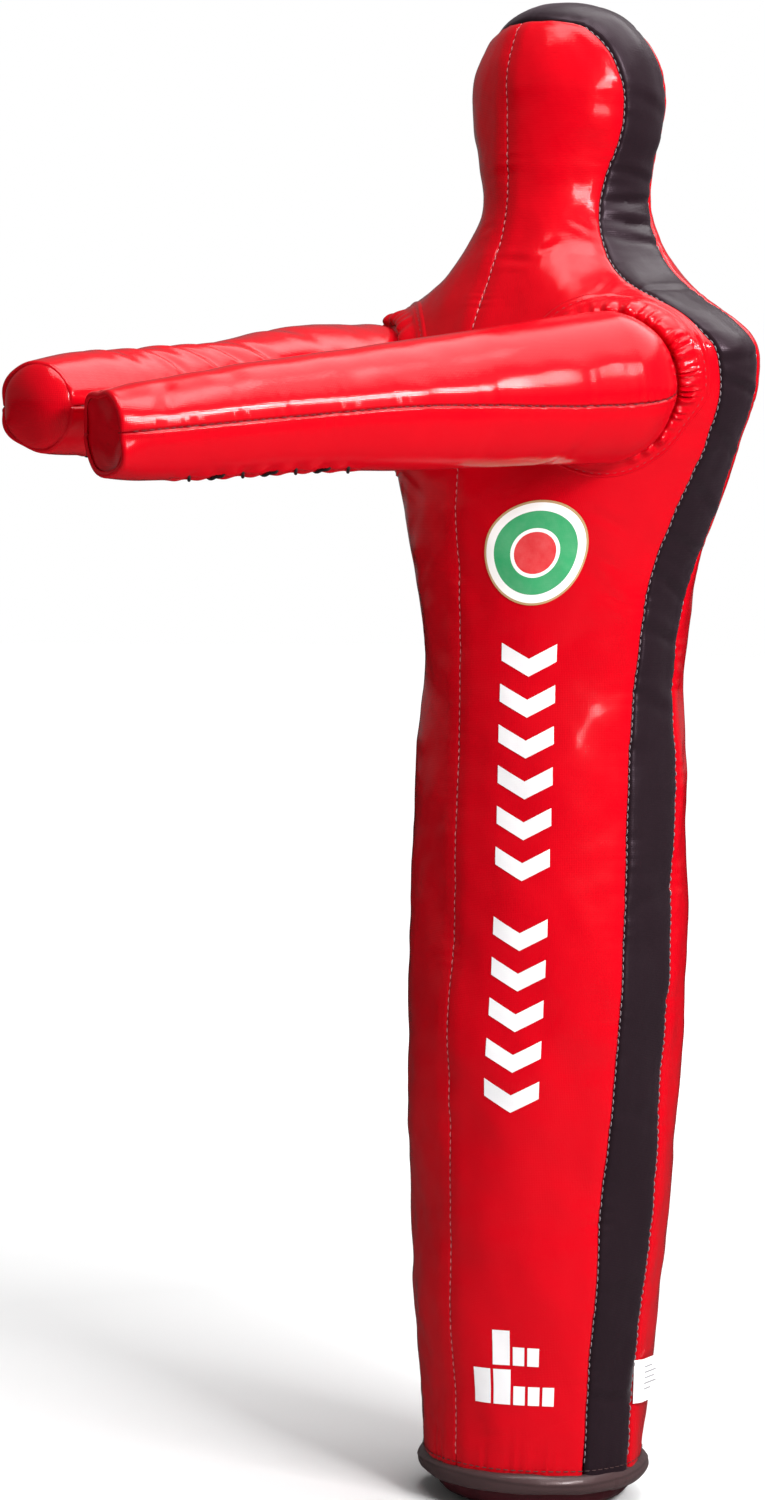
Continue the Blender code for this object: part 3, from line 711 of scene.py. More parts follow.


# The second colour of each coated cloth is the painted shade put in its seams.
RED = coated_fabric(
    "red coated cloth", (0.535, 0.0003, 0.0064), (0.24, 0.0003, 0.0035), roughness=0.36, coat=1.0, weave=0.30,
    grain=0.16, shine=0.03)
DARK = coated_fabric(
    "black coated cloth", (0.0145, 0.0078, 0.0106), (0.006, 0.004, 0.005), roughness=0.34, coat=0.04,
    weave=0.22, grain=0.34, sheen=0.06, shine=0.17, tint=(1.0, 0.74, 0.90))
BINDING = coated_fabric(
    "brown binding tape", (0.058, 0.033, 0.034), (0.02, 0.012, 0.012), roughness=0.34, coat=0.30, weave=0.12,
    grain=0.42, sheen=0.06, tint=(1.0, 0.80, 0.80))
MAROON = coated_fabric(
    "maroon base cloth", (0.055, 0.008, 0.012), (0.012, 0.002, 0.003), roughness=0.42, coat=0.15, weave=0.25,
    grain=0.40, sheen=0.04, shine=0.10)
DARK_THREAD = thread_material("dark thread", (0.16, 0.006, 0.010))
RED_THREAD = thread_material("red thread", (0.42, 0.006, 0.016))
GREY_THREAD = thread_material("grey thread", (0.27, 0.22, 0.24))
PINK_THREAD = thread_material("pale red thread", (0.72, 0.20, 0.21))
HEM_THREAD = thread_material("brown thread", (0.06, 0.02, 0.02))
LACE_CORD = thread_material("black lace", (0.018, 0.016, 0.017))
WHITE_PRINT = print_material("white print", (0.80, 0.79, 0.80))
GREY_PRINT = print_material("grey print", (0.30, 0.30, 0.31))


# ---- the body's covers -------------------------------------------------------------------------

PANEL_COLUMNS = 44
BAND_COLUMNS = 12
COVER_RADIUS = 0.09  # turns an angle round the body into a length of cloth
CROWN_RISE_FROM = 0.955  # above this height a panel's rows bend up towards the crown
REAR_GAP = 0.0004  # between a panel's top and the end of its centre seam
FRONT_GAP = 0.0006
CENTRE_ROLL = (0.0007, 0.0020)  # depth and width of the turned-in edge at the centre seams
CENTRE_PALER = 0.0011  # added to the distance from the centre seams, so that their painted shade is lighter


def panel(name, side, rear, material):
    """A front or back cover of one side, from the hem to the crown."""
    top = BACK_LEVELS[-1] if rear else FACE_LEVELS[-1]
    z, height = spaced_levels(HEM, top, GRAIN)
    if rear:
        t, centre, strip = spread_columns(z, np.full(len(z), -90.0), rear_edge(z), PANEL_COLUMNS)
        rise = CROWN_REAR - top - REAR_GAP
    else:
        t, strip, centre = spread_columns(z, front_edge(z), np.full(len(z), 90.0), PANEL_COLUMNS)
        rise = CROWN_FRONT - top - FRONT_GAP
    centred = strip / np.maximum(strip + centre, 1e-6)
    p = skin(z[:, None] + rise * ramp(z, CROWN_RISE_FROM, top)[:, None] * centred, t)
    n = grid_normals(p)
    n = n * np.sign((n * away_from_axis(p)).sum(-1).mean())
    crown = (height[-1] - height)[:, None] + 0 * t
    along = height[:, None] + 0 * t
    strip_puckers, centre_puckers = (REAR_PUCKERS, BACK_PUCKERS) if rear else (FRONT_PUCKERS, CENTRE_PUCKERS)
    out = relief(p, side) + rolled(strip) + rolled(centre, *CENTRE_ROLL) + rolled(crown)
    out = out + strip_puckers(strip, along + SIDE_SHIFT * side) + centre_puckers(centre, along)
    out = out + hem_relief(along, np.radians(t) * side)
    # The distance from the nearest seam, which the material turns into painted shade.
    edge = np.minimum(np.minimum(strip, centre + CENTRE_PALER), crown)
    cloth = np.stack([np.radians(t) * COVER_RADIUS, along, edge], -1)
    inside = inside_sleeve(p * MIRROR[side], side) & (not rear)
    keep = ~(inside[:-1, :-1] & inside[:-1, 1:] & inside[1:, 1:] & inside[1:, :-1])
    grid = (p + n * out[..., None]) * MIRROR[side]
    grid, cloth, keep = facing(away_from_axis(grid), grid, cloth, keep)
    return shell(name, grid, cloth, material, keep=keep)


def crown_rows(step):
    """Front and rear edge places of the head's part of the strip, from the neck to the middle."""
    count = len(FACE_LEVELS)
    w = np.linspace(0, count, 1600)
    index = np.arange(count + 1)
    front_z = np.interp(w, index, [*FACE_LEVELS, CROWN_FRONT])
    rear_z = np.interp(w, index, [*BACK_LEVELS, CROWN_REAR])
    last = np.clip(w - (count - 1), 0, 1)
    front_t = front_edge(np.minimum(front_z, FACE_LEVELS[-1])) * (1 - last) + 90 * last
    rear_t = rear_edge(np.minimum(rear_z, BACK_LEVELS[-1])) * (1 - last) - 90 * last
    front = skin(front_z, front_t)
    rear = skin(rear_z, rear_t)
    run = run_length((front + rear) / 2)
    at = np.linspace(0, run[-1], int(run[-1] / step) + 1)
    return rows_at(at, run, front), rows_at(at, run, rear)


def on_body(p):
    """Points pushed along rays from the axis to the head's surface."""
    base = np.zeros(p.shape)
    base[..., 2] = np.minimum(p[..., 2].min(axis=-1, keepdims=True), HEAD_CENTRE)
    way = p - base
    low = np.full(p.shape[:-1], 0.3)
    high = np.full(p.shape[:-1], 3.0)
    for _ in range(34):
        k = (low + high) / 2
        at = base + way * k[..., None]
        a, b = section(np.minimum(at[..., 2], HEIGHT))
        out = (at[..., 2] >= HEIGHT) | ((at[..., 0] / a) ** 2 + (at[..., 1] / b) ** 2 > 1)
        high = np.where(out, k, high)
        low = np.where(out, low, k)
    return base + way * low[..., None]


def edge_shares(total, middle):
    """Distances across a strip, dense at both edges."""
    edge = EDGE_STEPS + SEAM_GAP
    inner = np.linspace(0, 1, middle + 2)[1:-1]
    return np.hstack([edge, edge[-1] + (total - 2 * edge[-1]) * inner, total - edge[::-1]])


def side_band(name, material):
    """The dark strip: up the left side, over the crown and down the right side, in one piece."""
    z, _ = spaced_levels(HEM, NECK, GRAIN)
    t, rear, front = spread_columns(z, rear_edge(z), front_edge(z), BAND_COLUMNS)
    left = [*skin(z[:, None] + 0 * t, t)]
    rear = [*rear]
    front = [*front]
    front_line, rear_line = crown_rows(GRAIN)
    for f, r in zip(front_line[1:], rear_line[1:]):
        arc = on_body(r + (f - r) * np.linspace(0, 1, 41)[:, None])
        run = run_length(arc)
        at = edge_shares(run[-1], BAND_COLUMNS)
        left.append(rows_at(at, run, arc))
        rear.append(at)
        front.append(run[-1] - at)
    left = np.array(left)
    plain = np.concatenate([left, left[-2::-1]])
    side = np.where(np.arange(len(plain)) < len(left), 1, -1)[:, None]
    grid = np.concatenate([left, left[-2::-1] * MIRROR[-1]])
    rear = np.array(rear + rear[-2::-1])
    front = np.array(front + front[-2::-1])
    run = run_length(grid[:, grid.shape[1] // 2])
    along = run[:, None] + 0 * rear
    height = np.minimum(run, run[-1] - run)[:, None] + 0 * rear
    n = grid_normals(grid)
    n = n * np.sign((n * away_from_axis(grid)).sum(-1).mean())
    out = np.where(side > 0, relief(plain, 1), relief(plain, -1)) + rolled(front) + rolled(rear)
    shifted = height + SIDE_SHIFT * side
    out = out + FRONT_PUCKERS(front, shifted) + REAR_PUCKERS(rear, shifted)
    out = out + strip_creases(along, front, rear) + hem_relief(height, np.arctan2(grid[..., 1], grid[..., 0]))
    grid = grid + n * out[..., None]
    # The third value is the distance from the strip's seams, which the material turns into painted shade.
    cloth = np.stack([front, along, np.minimum(front, rear)], -1)
    return shell(name, *facing(away_from_axis(grid), grid, cloth), material)


STRIP_FOLD_DEPTH = 1.7  # all depths below are multiplied by this
# Where the strip is creased across: distance from the hem, depth, half width and slant.
STRIP_FOLDS = [
    (0.060, 0.0008, 0.0035, 0.15), (0.135, 0.0004, 0.0050, -0.20), (0.250, 0.0005, 0.0060, 0.30),
    (0.395, 0.0005, 0.0050, -0.25), (0.520, 0.0007, 0.0045, 0.35), (0.566, 0.0009, 0.0035, 0.25),
    (0.598, 0.0010, 0.0032, 0.42), (0.627, 0.0010, 0.0035, 0.30), (0.659, 0.0008, 0.0035, 0.55),
    (0.700, 0.0009, 0.0035, 0.45), (0.742, 0.0011, 0.0030, 0.20), (0.762, 0.0008, 0.0028, -0.15),
    (0.838, 0.0008, 0.0030, -0.20), (0.892, 0.0011, 0.0026, 0.15), (0.906, 0.0013, 0.0026, 0.05),
    (0.921, 0.0012, 0.0026, -0.10), (0.938, 0.0008, 0.0028, 0.10), (0.985, 0.0005, 0.0040, 0.30),
]


def strip_creases(along, front, rear):
    """Creases across the strip on both sides of the body, deepest in its middle."""
    middle = np.sin(math.pi * np.clip(front / (front + rear), 0, 1)) ** 0.6
    across = (front - rear) / 2
    end = along.max()
    out = 0 * along
    for run, shift in ((along, 0.009), (end - along, 0.0055)):
        for place, depth, width, slant in STRIP_FOLDS:
            away = run + shift - place + slant * across
            out = out + STRIP_FOLD_DEPTH * depth * crease(away, width, 0.45) * middle
    return out


def seam_path(edge, side, depth, end, gathers, shift=0.0):
    """A line in a seam's valley on the body, with its normals."""
    z, height = spaced_levels(HEM, end, 0.0012)
    chosen = z > SEAM_STITCHES_FROM
    z = z[chosen]
    height = height[chosen]
    t = edge(z)
    p = skin(z, t)
    n = skin_normal(z, t)
    out = relief(p, side) - depth + gathers(np.zeros(len(z)), height + shift * side)
    return (p + n * out[:, None]) * MIRROR[side], n * MIRROR[side]


# ---- shoulders ---------------------------------------------------------------------------------

PLEATS = 36
PLEAT_SHIFT = line_field(31, 0.6, 2.4, 8)
PLEAT_SIZE = line_field(33, 0.25, 1.2, 8)


def pleats(phi):
    """Radial pleats round the arm's root, from 0 in a fold to 1 on a crest."""
    angle = np.radians(phi)
    wave = 0.5 + 0.5 * np.cos(PLEATS * angle + 1.6 * PLEAT_SHIFT(angle))
    return wave ** 0.8 * np.clip(0.72 + 0.40 * PLEAT_SIZE(angle), 0.2, 1.3)


ROOT_TWIST = 15  # the sleeve's side seams end this far round below the root's middle
OPENING_INSET = 0.003  # the front cover is cut out this far inside the sleeve


def sleeve_radius(h):
    return smooth(SLEEVE, h, 1)


def radial_way(side, phi):
    _, _, beside, up = arm_axes(side)
    turn = np.radians(phi)[..., None]
    return np.cos(turn) * beside + np.sin(turn) * up


def plain_sleeve(side, m, phi):
    """Points of the plain sleeve, their outward directions, radii and distances from the pivot.

    m runs along the sleeve from the start of its round back, and is negative on the back."""
    pivot, along, _, _ = arm_axes(side)
    m, phi = np.broadcast_arrays(m, phi)
    h = SLEEVE_START + np.maximum(m, 0)
    phi = phi - side * ROOT_TWIST * (1 - ramp(h, -0.02, 0.17))
    r = sleeve_radius(h)
    bend = np.minimum(m, 0) / BACK_RADIUS
    radial = radial_way(side, phi)
    way = radial * np.cos(bend)[..., None] + along * np.sin(bend)[..., None]
    forward = h + r * np.sin(bend)
    p = pivot + forward[..., None] * along + (r * np.cos(bend))[..., None] * radial
    return p, way, r, forward


def inside_sleeve(p, side):
    """Which points lie inside the sleeve, where the front cover is cut out."""
    pivot, along, _, _ = arm_axes(side)
    h = (p - pivot) @ along
    axis = pivot + np.maximum(h, SLEEVE_START)[..., None] * along
    return np.linalg.norm(p - axis, axis=-1) < sleeve_radius(np.maximum(h, SLEEVE_START)) - OPENING_INSET


def sleeve_join(side, phi):
    """Where the sleeve meets the trunk, as a distance along the sleeve, for angles round the arm."""
    even = np.linspace(0, 360, 360, endpoint=False)
    low = np.full(len(even), -0.070)
    high = np.full(len(even), 0.075)
    for _ in range(30):
        middle = (low + high) / 2
        out = body_distance(plain_sleeve(side, middle, even)[0]) > 0
        high = np.where(out, middle, high)
        low = np.where(out, low, middle)
    kernel = np.hanning(17)
    m = np.convolve(np.tile((low + high) / 2, 3), kernel / kernel.sum(), "same")[len(even):2 * len(even)]
    return np.interp(phi, np.append(even, 360), np.append(m, m[0]), period=360)


CUT_TILT = 25  # the cut between the sleeve's two lengths is turned this far towards the trunk's front
CUT_DISTANCE = 0.045


def cut_way(side):
    _, along, beside, _ = arm_axes(side)
    tilt = math.radians(CUT_TILT)
    return along * math.cos(tilt) + beside * side * math.sin(tilt)


def sleeve_cut(side, phi):
    """Where the sleeve's root length ends and its arm length starts."""
    tilt = math.radians(CUT_TILT)
    m = np.zeros(phi.shape)
    for _ in range(8):
        r = sleeve_radius(SLEEVE_START + m)
        s = (CUT_DISTANCE - math.sin(tilt) * side * r * np.cos(np.radians(phi))) / math.cos(tilt)
        m = s - PIVOT_DISTANCE - SLEEVE_START
    return m


def surface_normal(p):
    step = 0.0008
    shifts = np.eye(3) * step
    slope = [body_distance(p + s) - body_distance(p - s) for s in shifts]
    return unit(np.stack(slope, -1))


def pull_in(p):
    """Points brought onto the trunk's plain surface by a few steps along its normal."""
    for _ in range(6):
        p = p - surface_normal(p) * body_distance(p)[..., None]
    return p


SKIRT_LINES = 276
SKIRT_REACH = 0.026
SKIRT_STEP = 0.0011


def skirt_lines(side):
    """Lines on the trunk that run out from the arm's root, one for each angle round the arm."""
    phi = np.linspace(0, 360, SKIRT_LINES, endpoint=False)
    stride = SKIRT_STEP * (1 - 0.45 * ramp(-np.sin(np.radians(phi)), 0.0, 0.9))[:, None]
    start, way, _, _ = plain_sleeve(side, sleeve_join(side, phi), phi)
    p = pull_in(start)
    lines = [p]
    for _ in range(int(SKIRT_REACH / SKIRT_STEP)):
        n = surface_normal(p)
        ahead = unit(way - (way * n).sum(-1, keepdims=True) * n)
        p = pull_in(p + ahead * stride)
        lines.append(p)
    return phi, np.arange(len(lines)) * SKIRT_STEP, np.array(lines)


STITCHED_RING = 0.0190
# Heights across the gathered ring, from the arm's root outwards.
ROOT_SINK = 0.0014
GATHER_SWELL = 0.0024
GATHER_FOLD = 0.0034
FURROW_DEPTH = 0.0003
RIDGE_HEIGHT = 0.0004
RIDGE_AWAY = 0.0024
RING_LIFT = 0.0007  # inside the ring's outer edge
RING_SINK = 0.0006  # at that edge, which goes under the trunk's cover
SKIRT_RADIUS = 0.055  # turns an angle round the arm's root into a length of cloth


def shoulder_skirt(name, side, material):
    """The gathered ring of cover round the arm's root, with the stitched line outside it."""
    phi, distance, lines = skirt_lines(side)
    n = surface_normal(lines)
    d = distance[:, None]
    crest = pleats(phi if side > 0 else 180 - phi)[None, :]
    swell = GATHER_SWELL * np.sqrt(np.clip(d / 0.0035, 0, 1)) * (1 - ramp(d, 0.004, 0.016))
    folds = GATHER_FOLD * crest * ramp(d, 0.0, 0.002) * (1 - ramp(d, 0.0065, 0.0175))
    furrow = -FURROW_DEPTH * bell(d - STITCHED_RING, 0.0012)
    ridge = RIDGE_HEIGHT * sum(bell(d - STITCHED_RING + away, 0.0015) for away in (RIDGE_AWAY, -RIDGE_AWAY))
    outer = ramp(d, 0.0215, 0.0255)
    settle = RING_LIFT * (1 - outer) - RING_SINK * outer
    lift = relief(lines * MIRROR[side], side)
    out = lift - ROOT_SINK * (1 - ramp(d, 0, 0.0020)) + swell + folds + furrow + ridge + settle
    grid = lines + n * out[..., None]
    # The third value puts painted shade on the gathers next to the arm's root.
    cloth = stack(np.radians(phi)[None, :] * SKIRT_RADIUS, d, d + 0.0008)
    if ((np.roll(grid, -1, 1) - grid)[2, 0] @ np.cross(grid[3, 0] - grid[2, 0], n[2, 0])) < 0:
        grid = grid[:, ::-1]
        cloth = cloth[:, ::-1]
    made = shell(name, grid, cloth, material, SKIRT_FABRIC, wrap=True)
    row = int(np.argmin(abs(distance - STITCHED_RING)))
    loop = lines[row] + n[row] * (lift[row] + 0.0002)[:, None]
    return made, np.vstack([loop, loop[:1]]), np.vstack([n[row], n[row][:1]])


# ---- arms --------------------------------------------------------------------------------------

ARM_SEAM_PUCKERS = {1: puckers(41, 0.0062, 0.0013, 0.0085), -1: puckers(43, 0.0070, 0.0008, 0.0080)}
ARM_LUMPS = field(45, 0.070, 0.180)
ARM_DENTS = field(46, 0.020, 0.045)
ARM_LUMP_HEIGHT = 0.0007
ARM_DENT_HEIGHT = 0.00008
SEAM_LIP = 0.0006  # the lower half of the sleeve stands up along its side seams
ROOT_PLEAT = 0.0010
TIP_WAVES = {1: line_field(47, 0.022, 0.050), -1: line_field(49, 0.022, 0.050)}
TIP_WAVE_RADIUS = 0.027
CAP_DOME = 0.0105
CAP_SLACK = 0.0012
CAP_EDGE = 0.0006  # how far the end disc's edge is drawn in
TIP_RIM = 0.0024
LACE_TURN = 11
ROOT_ROWS = 44
SLEEVE_ROWS = 152
SLEEVE_COLUMNS = 46
TUCK_IN = 0.0035  # how far the root goes in under the trunk's gathers
TUCKED_SHADE = 0.0030  # the root's first rows count as seam over this length
LOWER_SPREAD = 9.0  # degrees by which the lower half's columns are drawn towards the slit
SLIT_MARGIN = 0.004
ARM_SEAM_ROLL = (0.0008, 0.0016)
TIP_WAVE_DEPTH = {1: 0.0011, -1: 0.0006}
TIP_RIM_TURNS = (22, 45, 68, 90, 115, 140)

# Creases across an arm: side, distance from the pivot, angle, length round the arm, slant, depth, half width.
ARM_FOLDS = [
    (-1, 0.200, 78, 0.050, -0.55, 0.0026, 0.0050), (-1, 0.165, 62, 0.050, -0.60, 0.0024, 0.0055),
    (-1, 0.228, 58, 0.040, -0.45, 0.0020, 0.0046), (-1, 0.132, 50, 0.045, -0.50, 0.0016, 0.0060),
    (-1, 0.262, 85, 0.040, -0.35, 0.0010, 0.0050), (-1, 0.080, 80, 0.050, -0.35, 0.0010, 0.0080),
    (1, 0.300, 35, 0.035, 0.30, 0.0005, 0.0045), (1, 0.255, 70, 0.050, -0.30, 0.0005, 0.0080),
    (1, 0.170, 60, 0.050, 0.30, 0.0005, 0.0090), (1, 0.085, 330, 0.050, 0.30, 0.0007, 0.0070),
    (1, 0.020, 320, 0.045, 0.45, 0.0009, 0.0060), (1, 0.130, 345, 0.040, 0.30, 0.0006, 0.0060),
]


def lace_angle(side):
    """The slit lies under the sleeve, turned a little outwards."""
    return 270 + side * LACE_TURN


def arm_relief(side, m, phi):
    """How far a sleeve stands out, and how far it is from its side seams."""
    p, _, r, h = plain_sleeve(side, m, phi)
    turned = phi % 360
    from_seam = np.minimum(np.minimum(turned, 360 - turned), abs(turned - 180))
    seam = np.radians(from_seam) * r
    below = (turned > 180) & (turned < 360)
    start = m - sleeve_join(side, phi)
    out = ARM_LUMP_HEIGHT * ARM_LUMPS(p) + ARM_DENT_HEIGHT * ARM_DENTS(p)
    out = out + rolled(seam, *ARM_SEAM_ROLL) + SEAM_LIP * bell(seam - 0.0020, 0.0012) * below
    out = out + ARM_SEAM_PUCKERS[side](seam, h + 0.2 * below) * ramp(start, 0.005, 0.02)
    crest = pleats(phi if side > 0 else 180 - phi)
    out = out + ROOT_PLEAT * (crest - 0.8) * (1 - ramp(start, 0.002, 0.016))
    out = out - ROOT_SINK * np.clip(1 - start / 0.0032, 0, 1.6) ** 2
    tip = np.maximum(SLEEVE_END - h, 0)
    around = np.radians(turned) * TIP_WAVE_RADIUS
    out = out + TIP_WAVE_DEPTH[side] * TIP_WAVES[side](around) * np.exp(-tip / 0.010)
    for where, place, angle, length, slant, depth, width in ARM_FOLDS:
        if where == side:
            across = np.radians(angle_from(angle, phi)) * r
            away = h - place + slant * across
            out = out + depth * crease(away, width, 0.5, 2.0) * bell(across, length / 2)
    return out + lacing_relief(side, h, phi, r), seam


def lacing_relief(side, h, phi, r):
    """The laced slit under the sleeve: a groove whose edges the lace gathers into scallops."""
    across = np.radians(angle_from(lace_angle(side), phi)) * r
    window = ramp(h, LACE_START - 0.012, LACE_START) * (1 - ramp(h, LACE_END + 0.002, LACE_END + 0.014))
    groove = -SLIT_DEPTH * bell(across, 0.0020)
    lip = SLIT_LIP * bell(abs(across) - 0.0042, 0.0022)
    scallop = 0.5 - 0.5 * np.cos(2 * math.pi * (h - LACE_START) / LACE_PITCH)
    bulge = SCALLOP_HEIGHT * scallop * bell(abs(across) - LACE_HALF_WIDTH, 0.0045)
    return window * (groove + lip + bulge - LACED_DIP * bell(across, 0.012))


def sleeve_panel(name, side, upper, root, material):
    """Half of a sleeve: its root length up to the cut, or its arm length with the rim at the tip."""
    _, along, _, _ = arm_axes(side)
    end = SLEEVE_END - SLEEVE_START
    share = np.linspace(0, 1, ROOT_ROWS if root else SLEEVE_ROWS)[:, None]
    phi = (0 if upper else 180) + np.degrees(edge_shares(math.pi * BACK_RADIUS, SLEEVE_COLUMNS) / BACK_RADIUS)
    if not upper:
        away = (phi - 270) / 90
        phi = phi - LOWER_SPREAD * np.sin(math.pi * away) * (1 - abs(away))
        phi = phi + side * LACE_TURN * (1 - away ** 2)
    cut = sleeve_cut(side, phi)[None, :]
    if root:
        join = sleeve_join(side, phi)[None, :] - TUCK_IN
        m = join + (cut - join) * share
    else:
        m = cut + (end - cut) * share
    turned = np.broadcast_to(phi, m.shape)
    p, way, r, _ = plain_sleeve(side, m, turned)
    out, seam = arm_relief(side, m, turned)
    grid = p + way * out[..., None]
    length = m
    if not root:
        bends = np.radians(TIP_RIM_TURNS)[:, None, None]
        inward = TIP_RIM * (1 - np.cos(bends)) * radial_way(side, phi)
        rim = grid[-1] + along * TIP_RIM * np.sin(bends) - inward
        grid = np.concatenate([grid, rim])
        length = np.concatenate([length, end + TIP_RIM * bends[..., 0] + 0 * phi])
        seam, turned, r, way = (np.concatenate([a, *[a[-1:]] * len(rim)]) for a in (seam, turned, r, way))
    h = length + SLEEVE_START
    slit = abs(np.radians(angle_from(lace_angle(side), turned)) * r)
    in_slit = (h > LACE_START - SLIT_MARGIN) & (h < LACE_END + SLIT_MARGIN)
    # Distances from the side seams, the slit and the tucked root, which the material turns into painted
    # shade.
    edge = np.where(in_slit, np.minimum(seam, slit * 0.8), seam)
    if root:
        edge = np.minimum(edge, np.maximum(length - length[:1] - TUCKED_SHADE, 0))
    cloth = np.stack([np.radians(turned) * r, length, edge], -1)
    return shell(name, *facing(way, grid, cloth), material)


def arm_cap(name, side, material):
    """The round end of the arm: a disc sewn inside the rim, puffed on one arm and slack on the other."""
    pivot, along, beside, up = arm_axes(side)
    puffed = side < 0
    radius = TIP_RADIUS - (0.0012 if puffed else 0.0022)
    share = np.concatenate([np.linspace(0.02, 0.8, 18), np.linspace(0.82, 1.0, 10)])[:, None]
    turn = np.radians(np.linspace(0, 360, 120, endpoint=False))
    reach = share * radius + 0 * turn
    place = reach[..., None] * (np.cos(turn)[:, None] * beside + np.sin(turn)[:, None] * up)
    waves = 0.0003 * TIP_WAVES[side](turn * TIP_WAVE_RADIUS)[None, :] * ramp(share, 0.5, 0.95)
    lumps = 0.0007 * ARM_LUMPS(place * 2.5 + 0.3) * (1 - share ** 4)
    if puffed:
        dome = CAP_DOME * (1 - share ** 2.6) ** 0.62 - CAP_EDGE
    else:
        dome = -CAP_SLACK * (1 - share ** 2) - CAP_EDGE * np.clip((share - 0.9) / 0.1, 0, 1) ** 2
    grid = pivot + place + (SLEEVE_END + 0.0008 + dome + waves + lumps)[..., None] * along
    # Distance from the disc's edge, which the material turns into painted shade at its rim.
    edge = (1 - share) * radius + 0.0003 + 0 * turn
    cloth = np.stack([place @ beside, place @ up, edge], -1)
    grid = grid[::-1]
    cloth = cloth[::-1]
    return closed_disc(name, grid, cloth, grid[-1].mean(0), 0.01, along, material, FABRIC)


def sleeve_line(side, m, phi, lift):
    """Points on a finished sleeve along a line, and their outward directions."""
    phi = np.broadcast_to(np.asarray(phi, float), m.shape)
    p, way, _, _ = plain_sleeve(side, m, phi)
    out, _ = arm_relief(side, m, phi)
    return p + way * (out + lift)[:, None], way


def arm_lace(name, side, material):
    """The lace: it crosses over the slit in slanted runs and goes on under the cover between them."""
    places = []
    for i in range(LACE_CROSSINGS):
        turn = (-1) ** i
        start = LACE_START + LACE_PITCH * i - SLIT_MARGIN
        for u in np.linspace(0, 1, 13):
            over = LACE_ARCH * math.sin(math.pi * u) ** 0.5 - LACE_SINK
            h = start + CROSSING_SHARE * LACE_PITCH * u
            places.append((h, turn * LACE_HALF_WIDTH * (2 * u - 1), over))
        if i + 1 < LACE_CROSSINGS:
            for u in np.linspace(0.1, 0.9, 7):
                h = start + LACE_PITCH * (CROSSING_SHARE + (1 - CROSSING_SHARE) * u)
                over = -LACE_SINK - LACE_SAG * math.sin(math.pi * u)
                places.append((h, turn * LACE_HALF_WIDTH, over))
    h, across, over = np.array(places).T
    phi = lace_angle(side) + np.degrees(across / sleeve_radius(h))
    line, way = sleeve_line(side, h - SLEEVE_START, phi, 0)
    path = line + way * (over + LACE_FILL * bell(across, 0.0022))[:, None]
    made, faces = ring_tube(path, LACE_RADIUS, 10)
    return finish_mesh(add_mesh(name, made, faces, material), 0, 80)


# ---- base --------------------------------------------------------------------------------------

TAPE_WANDER = 0.0003
TAPE_SLACK = 0.0004
TAPE_FOLD = 0.00022
TAPE_STEP = 0.0008  # where the tape's edge laps over itself


def binding_roll(name, material):
    """The tape rolled round the hem, with folds that run along it."""
    around = np.radians(np.linspace(0, 360, 300, endpoint=False))
    tube = np.radians(np.linspace(0, 360, 48, endpoint=False))
    a = around[None, :]
    b = tube[:, None]
    wander = TAPE_WANDER * line_field(51, 0.8, 3.2, 6)(a)
    folds = field(52, 0.008, 0.020, 30)
    space = stack(a * 0.022, np.cos(b) * BINDING_TUBE, np.sin(b) * BINDING_TUBE)
    lap = np.cos(b - 0.9 - 0.25 * np.sin(3 * a))
    radius = BINDING_TUBE - TAPE_SLACK + TAPE_FOLD * folds(space) + TAPE_STEP * ramp(lap, 0.80, 0.84)
    reach = BINDING_RADIUS + radius * np.cos(b)
    grid = np.stack([reach * np.cos(a), reach * np.sin(a), BINDING_HEIGHT + wander + radius * np.sin(b)], -1)
    # The third value puts painted shade along the line where the tape laps over itself.
    cloth = stack(a * BINDING_RADIUS, b * BINDING_TUBE, 0.0010 + 0.010 * abs(lap - 0.82))
    faces = grid_faces(len(tube), len(around), True)
    count = len(around)
    last = (len(tube) - 1) * count
    for i in range(count):
        j = (i + 1) % count
        faces.append([last + i, last + j, j, i])
    return finish_mesh(add_mesh(name, grid, faces, material, cloth), 0, 70)


BASE_RADIUS = 0.066
BASE_GATHER = 0.0009
BASE_LUMP = 0.0004
# The base's outline from the binding to the middle: radius and height.
BASE_OUTLINE = np.array([
    (0.0655, 0.0175), (0.0668, 0.0145), (0.0662, 0.0110), (0.0640, 0.0070), (0.0610, 0.0040),
    (0.0570, 0.0018), (0.0520, 0.0005), (0.0460, 0.0001), (0.0300, 0.0), (0.0120, 0.0), (0.0010, 0.0),
])


def base_disc(name, material):
    """The maroon bottom: a stuffed disc that bulges under the binding and rests flat."""
    run = run_length(BASE_OUTLINE)
    at = np.linspace(0, run[-1], 70)
    r = np.interp(at, run, BASE_OUTLINE[:, 0])[:, None]
    z = np.interp(at, run, BASE_OUTLINE[:, 1])[:, None]
    phi = np.radians(np.linspace(0, 360, 240, endpoint=False))[None, :]
    gather = line_field(55, 0.012, 0.040)(phi * BASE_RADIUS) * np.exp(-at / 0.012)[:, None]
    lumps = field(56, 0.015, 0.05)(stack(r * np.cos(phi), r * np.sin(phi), z))
    reach = r + (BASE_GATHER * gather + BASE_LUMP * lumps) * ramp(z, 0.0, 0.006)
    grid = stack(reach * np.cos(phi), reach * np.sin(phi), z)[::-1]
    # The third value puts painted shade on the disc just under the binding.
    cloth = stack(r * np.cos(phi), r * np.sin(phi), at[:, None] + 0.001)[::-1]
    return closed_disc(name, grid, cloth, [0, 0, 0], 0.05, -AXIS_UP, material, FABRIC)


# ---- prints and label --------------------------------------------------------------------------

def local_rate(z, t):
    """Degrees of section angle in a metre along the surface."""
    a, b = section(z)
    angle = math.radians(t)
    return math.degrees(1 / math.hypot(a * math.sin(angle), b * math.cos(angle)))


# Prints: how far they lie above the cover, their thickness, and a distance from seams for the material.
PRINT_LIFT = 0.0004
PRINT_THICKNESS = 0.0002
BADGE_LIFT = 0.0006
BADGE_THICKNESS = 0.0004
FAR_FROM_SEAM = 0.02


